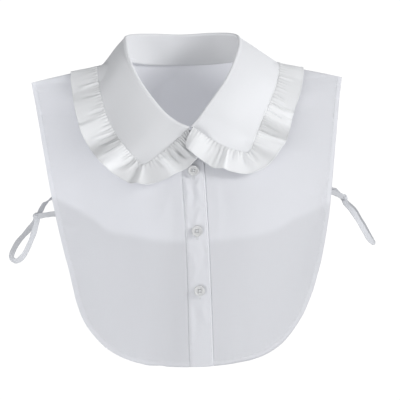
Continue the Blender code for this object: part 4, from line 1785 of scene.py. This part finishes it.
@dataclass
class Ruffle:
    """The gathered ruffle along the collar's edge."""

    collar: Collar
    cotton: bpy.types.Material
    tree: BVHTree
    wall: float = 0.4
    depth: float = 5.0
    pull: float = 0.3
    # Painted light on raised pleats, painted shade in sunk ones and between the small gathers.
    pleat_shading: float = 0.045
    gather_shade: float = 0.16
    tuck: float = 1.0
    under_lift: float = 1.6
    lap_lift: float = 7.0
    under_slant: float = 0.04
    lap_slant: float = -0.52
    turn_reach: float = 15.0
    clearance: float = 2.2
    columns: int = 1401
    even_columns: int = 24
    seed: int = 11
    rows: tuple[float, ...] = (
        0.0, 0.03, 0.06, 0.09, 0.13, 0.17, 0.22, 0.28, 0.34, 0.41, 0.48,
        0.55, 0.62, 0.69, 0.76, 0.83, 0.89, 0.93, 0.955, 0.975, 1.0,
    )
    # Place along the seam from the neck end and width, on the viewer's left.
    widths_left: Rows = (
        (0.0, 30.0), (8.0, 32.0), (20.0, 34.5), (42.0, 34.5), (54.0, 29.0), (64.0, 25.0), (72.0, 26.5),
        (82.0, 30.0), (98.0, 31.0), (125.0, 32.0), (150.0, 31.0), (180.0, 30.0), (338.0, 28.0),
    )
    widths_right: Rows = (
        (0.0, 14.0), (1.5, 20.0), (4.0, 25.0), (8.0, 29.0), (20.0, 32.0), (40.0, 31.5), (55.0, 29.0),
        (66.0, 27.0), (77.0, 29.0), (90.0, 32.0), (108.0, 32.0), (128.0, 29.0), (155.0, 27.5),
        (180.0, 27.5), (338.0, 28.0),
    )
    # Flutes: place along the seam from the neck end, share of the full depth.
    flutes_left: Rows = (
        (0.0, 0.35), (9.0, 0.20), (17.0, 0.60), (24.0, 0.30), (34.0, 0.12), (44.0, 0.75), (51.0, 0.55),
        (60.0, 0.40), (67.0, 0.80), (72.0, 0.15), (80.0, 0.25), (89.0, 0.80), (102.0, 0.15),
        (110.0, 0.05), (119.0, 0.35), (138.0, 0.90), (144.0, 0.20), (158.0, 0.45), (174.0, 0.15),
        (190.0, 0.30), (212.0, 0.05), (234.0, 0.70), (256.0, 0.10), (278.0, 0.80), (298.0, 0.05),
        (319.0, 0.75), (338.0, 0.20),
    )
    flutes_right: Rows = (
        (0.0, 0.50), (10.0, 0.85), (22.0, 0.65), (33.0, 0.40), (40.0, 0.08), (46.0, 0.75),
        (54.0, 0.55), (60.0, 0.25), (66.0, 0.80), (76.0, 0.35), (87.0, 0.70), (94.0, 0.85),
        (103.0, 0.15), (112.0, 0.08), (118.0, 0.75), (124.0, 0.85), (128.0, 0.50), (134.0, 0.90),
        (139.0, 0.15), (152.0, 0.45), (164.0, 0.30), (181.0, 0.10), (203.0, 0.30), (226.0, 0.05),
        (248.0, 0.65), (270.0, 0.10), (293.0, 0.90), (316.0, 0.10), (338.0, 0.20),
    )
    # Painted light on the puffs and painted shade in the valleys: place, factor.
    flute_shading_left: Rows = (
        (0.0, 0.92), (20.0, 0.90), (30.0, 0.88), (38.0, 0.95), (44.0, 1.06), (50.0, 1.04),
        (56.0, 0.95), (68.0, 0.92), (75.0, 0.90), (80.0, 1.00), (85.0, 1.12), (98.0, 1.12),
        (103.0, 0.79), (113.0, 0.80), (118.0, 1.02), (126.0, 1.07), (138.0, 1.06), (148.0, 0.96),
        (170.0, 0.95), (220.0, 1.00), (338.0, 1.00),
    )
    flute_shading_right: Rows = (
        (0.0, 1.06), (24.0, 1.06), (31.0, 0.96), (38.0, 0.94), (44.0, 1.05), (70.0, 1.04),
        (75.0, 0.93), (80.0, 1.08), (94.0, 1.10), (98.0, 0.89), (113.0, 0.88), (118.0, 1.06),
        (132.0, 1.06), (142.0, 0.95), (170.0, 0.97), (220.0, 1.00), (338.0, 1.00),
    )
    # Pleats: place, shift at the outer edge, half width, height, first and last share down.
    pleats_left: Rows = (
        (12.0, 5.0, 1.6, 1.1, 0.1, 0.9), (17.0, 4.0, 1.3, -1.0, 0.0, 0.8),
        (22.0, 3.0, 1.5, 1.3, 0.0, 0.95), (27.0, 3.0, 1.6, -1.4, 0.0, 0.85),
        (31.0, 2.0, 1.2, 1.0, 0.0, 0.6), (35.0, 3.0, 1.5, -1.5, 0.0, 0.85),
        (39.0, 3.0, 1.2, 0.9, 0.0, 0.6), (45.0, 2.0, 2.2, 1.6, 0.15, 1.0),
        (50.0, 0.0, 1.6, -0.7, 0.0, 0.6), (65.0, 1.0, 1.4, 1.8, 0.05, 1.0),
        (69.0, 2.0, 1.5, -1.7, 0.0, 1.0), (73.0, 4.0, 1.2, 1.3, 0.0, 0.8),
        (77.0, 5.0, 1.4, -1.5, 0.0, 0.9), (81.0, 3.0, 1.1, 1.0, 0.0, 0.5),
        (86.0, 3.0, 1.2, -0.9, 0.0, 0.45), (101.0, 2.0, 1.4, -1.1, 0.0, 0.8),
        (105.0, 4.0, 1.3, 1.0, 0.0, 0.7), (109.0, 5.0, 1.4, -1.2, 0.0, 0.8),
        (113.0, 4.0, 1.2, 0.9, 0.0, 0.7), (118.0, 5.0, 1.7, 1.0, 0.1, 0.9),
        (124.0, 2.0, 1.4, -0.9, 0.0, 0.5), (130.0, 1.0, 1.5, -0.7, 0.0, 0.45),
        (147.0, 3.0, 1.6, -1.1, 0.0, 0.7), (152.0, -2.0, 1.5, 0.8, 0.0, 0.6),
        (168.0, 3.0, 2.0, -0.9, 0.0, 0.8), (184.0, -2.0, 1.9, 1.0, 0.0, 0.8),
        (204.0, 3.0, 2.1, -1.0, 0.0, 0.9), (221.0, -3.0, 1.8, 1.0, 0.0, 0.7),
        (246.0, 2.0, 2.0, -1.1, 0.0, 0.9), (266.0, -2.0, 1.8, 1.1, 0.0, 0.7),
        (289.0, 3.0, 2.0, -0.9, 0.0, 0.8), (309.0, -3.0, 1.8, 1.0, 0.0, 0.7),
        (328.0, 2.0, 1.9, -1.0, 0.0, 0.8),
    )
    pleats_right: Rows = (
        (30.0, 0.0, 1.8, 0.8, 0.2, 0.9), (36.0, 1.0, 1.6, -1.3, 0.1, 1.0),
        (40.0, 2.0, 1.3, -1.2, 0.0, 0.9), (44.0, 4.0, 1.5, 1.4, 0.0, 1.0),
        (50.0, 3.0, 1.3, -1.0, 0.0, 0.6), (55.0, 2.0, 1.3, 0.9, 0.0, 0.6),
        (59.0, 2.0, 1.3, -1.3, 0.0, 0.7), (64.0, 2.0, 1.3, 1.1, 0.0, 0.9),
        (68.0, 0.0, 1.2, -1.0, 0.0, 0.7), (76.0, -2.0, 2.2, -0.6, 0.0, 0.8),
        (99.0, -2.0, 1.5, -1.1, 0.0, 0.8), (105.0, -4.0, 1.2, 1.2, 0.0, 0.45),
        (109.0, -4.0, 1.4, -1.0, 0.0, 0.8), (116.0, -5.0, 1.5, 1.0, 0.0, 0.8),
        (127.0, -6.0, 1.3, -1.4, 0.0, 0.8), (137.0, -5.0, 1.6, -1.3, 0.0, 0.8),
        (144.0, -4.0, 1.4, 1.0, 0.0, 0.7), (149.0, -4.0, 1.5, -1.0, 0.0, 0.6),
        (157.0, -3.0, 1.6, 0.8, 0.0, 0.6), (172.0, 2.0, 1.9, 0.8, 0.0, 0.7),
        (194.0, -3.0, 2.0, -1.0, 0.0, 0.8), (214.0, 2.0, 1.8, 1.1, 0.0, 0.7),
        (238.0, -2.0, 2.0, -1.0, 0.0, 0.9), (258.0, 3.0, 1.8, 1.0, 0.0, 0.7),
        (281.0, -3.0, 2.0, -1.1, 0.0, 0.8), (304.0, 2.0, 1.8, 1.0, 0.0, 0.7),
        (326.0, -2.0, 1.9, -0.9, 0.0, 0.8),
    )

    def __post_init__(self) -> None:
        """Measure the seam and lay out the small gathers."""
        self.route = self.collar.seam()
        draw = random.Random(self.seed)
        self.gathers: list[Gather] = []
        place = 0.0
        while place < self.route.length:
            pitch = draw.uniform(2.7, 4.9)
            height = draw.uniform(0.45, 1.20)
            reach = draw.uniform(4.0, 11.0)
            self.gathers.append(Gather(place, place + pitch, height, reach))
            place += pitch

    def flute(self, place: float, left: bool) -> float:
        """Give the height of the flutes at a distance from the neck end."""
        flutes = self.flutes_left if left else self.flutes_right
        for (start, low), (end, high) in zip(flutes, flutes[1:]):
            if place <= end:
                return low + (high - low) * smoothstep((place - start) / (end - start))
        return flutes[-1][1]

    def pleat(self, place: float, down: float, left: bool) -> float:
        """Add up the pleats.

        Args:
            place: the distance from the neck end.
            down: the share from the seam to the outer edge.
            left: True on the viewer's left.

        Returns:
            The lift in millimetres.
        """
        total = 0.0
        for at, shift, half, height, first, last in self.pleats_left if left else self.pleats_right:
            gap = (place - at - shift * down) / (half * (0.65 + 0.7 * down))
            if abs(gap) < 2.6:
                rise = smoothstep((down - first) / 0.12)
                fall = 1.0 - smoothstep((down - last + 0.3) / 0.3) if last < 1.0 else 1.0
                total += height * math.exp(-gap * gap) * rise * fall
        return total

    def gather(self, along: float, distance: float) -> tuple[float, float]:
        """Give the small gathers' lift and shade.

        Args:
            along: the length along the seam.
            distance: the distance from the seam.

        Returns:
            The lift in millimetres and the share of shade between two gathers.
        """
        one = self.gathers[max(bisect_right(self.gathers, along, key=lambda each: each.start) - 1, 0)]
        part = min(max((along - one.start) / (one.end - one.start), 0.0), 1.0)
        ridge = math.sin(math.pi * part) ** 0.75
        fade = math.exp(-((distance / one.reach) ** 2))
        return one.height * ridge * fade * smoothstep(distance / 1.4), (1.0 - ridge) * fade

    def seam_normals(self) -> list[Vector]:
        """Give the way off the cloth below each column of the seam, evened out along it."""
        last = self.columns - 1
        raw = [self.tree.find_nearest(self.route.at(1.0 - at / last))[1] for at in range(self.columns)]
        even = []
        for index in range(self.columns):
            near = raw[max(index - self.even_columns, 0) : index + self.even_columns + 1]
            even.append(sum(near, Vector()).normalized())
        return even

    def grid(self) -> ClothGrid:
        """Lay out the ruffle.

        Returns:
            Its outer surface.
        """
        length = self.route.length
        step = self.turn_reach / length
        frames = []
        normals = self.seam_normals()
        for column in range(self.columns):
            share = 1.0 - column / (self.columns - 1)
            normal = normals[column]
            point = self.route.at(share)
            ahead = self.route.at(share + step) - point
            behind = point - self.route.at(share - step)
            tangent = (ahead.normalized() + behind.normalized()).normalized()
            away = normal.cross(tangent).normalized()
            toward_end = min(share, 1.0 - share) * length
            ease = smoothstep(toward_end / 22.0)
            if ease < 1.0:
                slant = self.lap_slant if share > 0.5 else self.under_slant
                plumb = Vector((slant, 0.0, -1.0))
                plumb = (plumb - normal * plumb.dot(normal)).normalized()
                away = away.lerp(plumb, 0.75 * (1.0 - ease)).normalized()
            frames.append((share, point, normal, away, toward_end))

        def place(column: int, row: int) -> Spot:
            """Give a point from the seam to the outer edge."""
            share, point, normal, away, toward_end = frames[column]
            v = self.rows[row]
            left = share < 0.5
            width = table_value(self.widths_left if left else self.widths_right, toward_end)
            wave = self.flute(toward_end, left)
            swell = v ** 1.1 * smoothstep(0.15 + toward_end / 14.0)
            lift = self.depth * swell * wave
            pleat = self.pleat(toward_end, v, left) * smoothstep(v / 0.15)
            small, shade = self.gather(share * length, v * width)
            lift += pleat + small
            # Painted light and shade: puffs and raised pleats lighter, valleys, sunk pleats and the gaps
            # between gathers darker.
            tone = table_value(self.flute_shading_left if left else self.flute_shading_right, toward_end)
            tone *= (1.0 + self.pleat_shading * pleat) * (1.0 - self.gather_shade * shade)
            lift += 0.3 * smoothstep((v - 0.93) / 0.03)
            lift -= 0.45 * (1.0 - smoothstep(v / 0.05))
            lap = (self.lap_lift if share > 0.5 else self.under_lift) * (
                1.0 - smoothstep((toward_end - 8.0) / 26.0)
            )
            reach = (width + self.tuck - self.pull * wave * v) * v - self.tuck
            spot = point + away * reach + normal * (lift + lap * smoothstep(v / 0.2))
            if v > 0.0:
                keep = (self.clearance + lap) * smoothstep(v / 0.1) + 1.6 * (1.0 - smoothstep(v / 0.1))
                spot = kept_clear(spot, self.tree, keep)
            edge = (1.0 - v) * width + 3.9
            return Spot(spot, edge, tone, share * length * 1.3, v * width)

        return ClothGrid(self.columns, len(self.rows), place)

    def build(self) -> None:
        """Make the ruffle."""
        piece = self.grid().build("cotton_ruffle", self.cotton, self.wall)
        dress(piece, ("ruffle",))


# Ties.


@dataclass
class Ties:
    """The narrow cotton tape that joins back and front under each arm."""

    tape: bpy.types.Material
    width: float = 6.0
    thickness: float = 1.1
    samples: int = 240
    no_edge: float = 20.0
    # The tape's section, in halves of its width and thickness.
    section: Rows = (
        (-1.0, 0.0), (-0.94, 0.9), (-0.75, 0.72), (0.0, 1.0), (0.75, 0.72), (0.94, 0.9),
        (1.0, 0.0), (0.94, -0.9), (0.75, -0.72), (0.0, -1.0), (-0.75, -0.72), (-0.94, -0.9),
    )
    # Share of the tape's length, factor: painted shade on the strands of the loop that turn away, painted
    # light on those that face out.
    painted_shades: Rows = (
        (0.0, 0.85), (0.08, 1.05), (0.22, 1.08), (0.28, 0.84), (0.46, 0.88), (0.54, 1.12),
        (0.74, 1.16), (0.80, 1.0), (1.0, 0.92),
    )
    # Painted shade over the whole tape on the viewer's right.
    right_tape_shade: float = 0.88
    # Each route runs from the back corner through the knot and round the loop to the front edge.
    knot_left: tuple[float, float, float] = (-167.5, 1.0, -171.5)
    route_left: Rows = (
        (-145.5, 42.0, -153.0), (-152.0, 36.0, -155.0), (-159.0, 24.0, -160.0), (-164.8, 6.5, -169.2),
        (-168.0, 2.0, -173.0), (-169.8, 3.0, -178.0), (-178.0, 4.5, -188.0), (-189.5, 4.5, -201.0),
        (-196.0, 3.0, -215.0), (-190.5, 0.5, -220.0), (-182.0, -2.0, -213.0), (-173.5, -3.0, -196.0),
        (-167.5, -2.0, -178.5), (-166.5, -1.0, -172.0), (-164.8, -6.0, -170.8),
        (-159.0, -19.0, -169.0), (-151.0, -33.0, -167.0), (-145.0, -40.5, -166.0),
    )
    knot_right: tuple[float, float, float] = (170.0, 1.0, -158.5)
    route_right: Rows = (
        (149.5, 42.0, -144.0), (155.0, 36.0, -146.5), (162.0, 24.0, -150.0), (167.4, 6.5, -156.8),
        (170.4, 2.0, -160.0), (173.0, 3.0, -164.0), (182.0, 5.5, -173.0), (191.5, 5.0, -189.0),
        (199.0, 3.0, -203.5), (202.0, 0.0, -208.5), (197.0, -3.0, -204.0), (188.5, -4.5, -189.5),
        (179.0, -4.0, -173.5), (171.5, -2.0, -164.5), (169.5, -1.0, -159.0), (167.4, -6.0, -156.5),
        (161.5, -19.0, -153.5), (154.5, -32.0, -150.0), (150.0, -38.5, -148.5),
    )

    def facing(self, share: float, side: float) -> Vector:
        """Give the way that the tape's flat side faces along its route.

        Args:
            share: the share of the route.
            side: 1 for the viewer's right, -1 for the left.

        Returns:
            The way, a unit long.
        """
        sewn = Vector((side * 1.0, -0.35, 0.25)).normalized()
        free = Vector((side * 0.35, -1.0, 0.1)).normalized()
        part = smoothstep((share - 0.03) / 0.09) * (1.0 - smoothstep((share - 0.88) / 0.09))
        return sewn.lerp(free, part).normalized()

    def strand(self, side: float, word: str) -> tuple[bpy.types.Object, Route]:
        """Make the tape of one side.

        Args:
            side: 1 for the viewer's right, -1 for the left.
            word: "left" or "right", the wearer's.

        Returns:
            The tape and its route.
        """
        rows = self.route_left if side < 0 else self.route_right
        route = Route(smooth_path([Vector(row) for row in rows], 14))
        half, thick = 0.5 * self.width, 0.5 * self.thickness
        points: list[Vector] = []
        places: list[tuple[float, float]] = []
        for index in range(self.samples + 1):
            share = index / self.samples
            tangent = route.tangent(share, 1.5)
            across = tangent.cross(self.facing(share, side)).normalized()
            normal = across.cross(tangent).normalized()
            ripple = 1.0 + 0.05 * math.sin(share * 47.0) + 0.04 * math.sin(share * 83.0)
            for wide, high in self.section:
                points.append(route.at(share) + across * half * wide * ripple + normal * thick * high)
                places.append((half * wide, share * route.length))
        count = len(self.section)
        faces = tube_faces(self.samples + 1, count, outward=True)
        faces.append(tuple(reversed(range(count))))
        faces.append(tuple(self.samples * count + corner for corner in range(count)))
        piece = add_mesh(f"tape_{word}", points, faces, self.tape)
        lay_chart(piece.data, places)
        gain = self.right_tape_shade if side > 0 else 1.0
        painted_shades = [gain * table_value(self.painted_shades, along / route.length) for _, along in places]
        mark_cloth(piece.data, [self.no_edge] * len(painted_shades), painted_shades)
        return piece, route


    def knot(self, side: float, word: str) -> bpy.types.Object:
        """Make the knot: three wraps of the tape pulled together.

        Args:
            side: 1 for the viewer's right, -1 for the left.
            word: "left" or "right", the wearer's.

        Returns:
            The knot.
        """
        wraps = []
        turns = ((0.0, 0.35, 0.0, 1.0), (1.25, 0.2, 0.5, 0.92), (0.5, 1.2, 0.9, 0.86))
        for tilt_x, tilt_y, tilt_z, scale in turns:
            deselect_all()
            bpy.ops.mesh.primitive_torus_add(
                major_segments=40,
                minor_segments=16,
                major_radius=2.55 * scale * MM,
                minor_radius=1.75 * MM,
            )
            wrap = bpy.context.active_object
            bpy.ops.object.mode_set(mode="EDIT")
            bpy.ops.mesh.select_all(action="SELECT")
            bpy.ops.transform.resize(value=(1.0, 1.0, 1.18))
            bpy.ops.object.mode_set(mode="OBJECT")
            for vertex in wrap.data.vertices:
                around = math.atan2(vertex.co.y, vertex.co.x)
                vertex.co *= 1.0 + 0.05 * math.sin(3.0 * around + 5.0 * tilt_x)
            tilt = Matrix.Rotation(tilt_x, 4, "X") @ Matrix.Rotation(tilt_y, 4, "Y")
            settle(wrap, tilt @ Matrix.Rotation(tilt_z, 4, "Z"))
            wraps.append(wrap)
        knot = join_pieces(f"knot_{word}", wraps)
        place = Vector(self.knot_left if side < 0 else self.knot_right)
        settle(knot, Matrix.Translation(place * MM))
        knot.data.materials.clear()
        knot.data.materials.append(self.tape)
        knot.data.shade_smooth()
        chart = knot.data.uv_layers.active
        chart.name = "cloth"
        for loop in chart.data:
            loop.uv = (loop.uv[0] * 0.016, loop.uv[1] * 0.011)
        count = len(knot.data.vertices)
        mark_cloth(knot.data, [self.no_edge] * count, [1.0] * count)
        return knot

    def build(self) -> None:
        """Make both ties and log each tape's length."""
        for side, word in ((-1.0, "right"), (1.0, "left")):
            strand, route = self.strand(side, word)
            knot = self.knot(side, word)
            dress(strand, (f"tie_back_{word}", f"tie_front_{word}", f"tie_loop_{word}"))
            dress(knot, (f"tie_knot_{word}",))
            points = [tuple(route.at(step / 60) * MM) for step in range(61)]
            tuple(points[0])
            LOG.info("tape_%s: %.1f mm long, with its knot", word, route.length)


# The studio.


@dataclass
class Studio:
    """A pale floor, soft light and the camera at the photograph's angle."""

    paper: bpy.types.Material
    distance: float = 2500.0
    azimuth: float = -3.0
    elevation: float = 4.1
    roll: float = -1.0
    target: tuple[float, float, float] = (10.4, -20.0, -156.0)
    frame_width: float = 434.7
    sensor: float = 36.0
    floor_height: float = -1600.0
    wall_light: float = 0.74
    ceiling_light: float = 0.32
    world_seen: float = 1.06

    def camera(self) -> None:
        """Create the camera and make it the scene's."""
        azimuth, elevation = math.radians(self.azimuth), math.radians(self.elevation)
        level = math.cos(elevation)
        back = Vector((math.sin(azimuth) * level, -math.cos(azimuth) * level, math.sin(elevation)))
        lens = bpy.data.cameras.new("camera")
        lens.sensor_width = self.sensor
        lens.lens = self.sensor * self.distance / self.frame_width
        lens.clip_start = 0.01
        lens.clip_end = 100.0
        camera = bpy.data.objects.new("camera", lens)
        bpy.context.scene.collection.objects.link(camera)
        camera.location = (Vector(self.target) + back * self.distance) * MM
        aim = (-back).to_track_quat("-Z", "Y")
        aim = aim @ Quaternion((0.0, 0.0, 1.0), math.radians(self.roll))
        camera.rotation_mode = "QUATERNION"
        camera.rotation_quaternion = aim
        bpy.context.scene.camera = camera

    def light(self, name: str, place: tuple[float, float, float], size: float, power: float) -> None:
        """Add a soft box that looks at the garment.

        Args:
            name: the light's name.
            place: where it stands, in metres.
            size: its width in metres.
            power: its power in watts.
        """
        box = bpy.data.lights.new(name, "AREA")
        box.shape = "DISK"
        box.size = size
        box.energy = power
        lamp = bpy.data.objects.new(name, box)
        bpy.context.scene.collection.objects.link(lamp)
        lamp.location = place
        way = Vector((0.0, 0.0, -0.12)) - Vector(place)
        lamp.rotation_mode = "QUATERNION"
        lamp.rotation_quaternion = way.to_track_quat("-Z", "Y")

    def world(self) -> None:
        """Fill the room with soft white light, less of it from the ceiling than the walls."""
        world = bpy.data.worlds.new("studio")
        bpy.context.scene.world = world
        kit = NodeKit(world)
        height = kit.add("SeparateXYZ", "Z", {"Vector": kit.add("TexCoord", "Generated")})
        fade = {"From Min": 0.0, "From Max": 0.9, "Value": height}
        fade |= {"To Min": self.wall_light, "To Max": self.ceiling_light}
        sky = kit.nodes["Background"]
        kit.fill(sky, {"Color": (0.97, 0.985, 1.0, 1.0), "Strength": kit.add("MapRange", "Result", fade)})
        white = {"Color": (1.0, 1.0, 1.0, 1.0), "Strength": self.world_seen}
        shown = kit.seen_apart(sky.outputs["Background"], kit.add("Background", "Background", white))
        kit.fill(kit.nodes["World Output"], {"Surface": shown})

    def build(self) -> None:
        """Make the floor, the light and the camera."""
        self.camera()
        self.world()
        self.light("key", (2.6, -1.05, 1.05), 1.1, 48.0)
        self.light("fill", (-1.6, -2.4, -0.9), 1.4, 31.0)
        deselect_all()
        bpy.ops.mesh.primitive_plane_add(size=12.0, location=(0.0, 0.0, self.floor_height * MM))
        floor = bpy.context.active_object
        floor.name = "studio_floor"
        settle(floor, floor.matrix_world.copy())
        floor.data.materials.append(self.paper)


def main() -> None:
    """Dress the false collar."""
    logging.basicConfig(level=logging.INFO, format="%(name)s: %(message)s")
    bpy.context.scene.view_settings.view_transform = "Standard"
    body = Cotton("body_cotton", (0.85, 0.855, 0.885)).make()
    # The back cloth glows a little: painted light.
    back_cloth = Cotton("back_cotton", (0.85, 0.855, 0.885), see_through=0.15, glow=0.06).make()
    collar_cloth = Cotton("collar_cotton", (0.86, 0.865, 0.885), see_through=0.08, rumple_depth=0.2).make()
    ruffle_cloth = Cotton("ruffle_cotton", (0.95, 0.955, 0.965), see_through=0.18, rumple_depth=0.25).make()
    tape = Cotton("tie_tape", (0.70, 0.71, 0.74), see_through=0.05, rumple_depth=0.15).make()
    thread = Thread().make()
    pearl = Pearl().make()
    form = WornForm()
    Studio(StudioPaper().make()).build()
    Ties(tape).build()
    panel_tree = Panels(form, body, back_cloth, thread).build()
    bands = ButtonBands(form, body, thread)
    bands.build()
    Buttons(form, bands, pearl, thread).build()
    collar = Collar(form, collar_cloth, thread, panel_tree)
    collar.build()
    Ruffle(collar, ruffle_cloth, panel_tree).build()


if __name__ == "__main__":
    main()
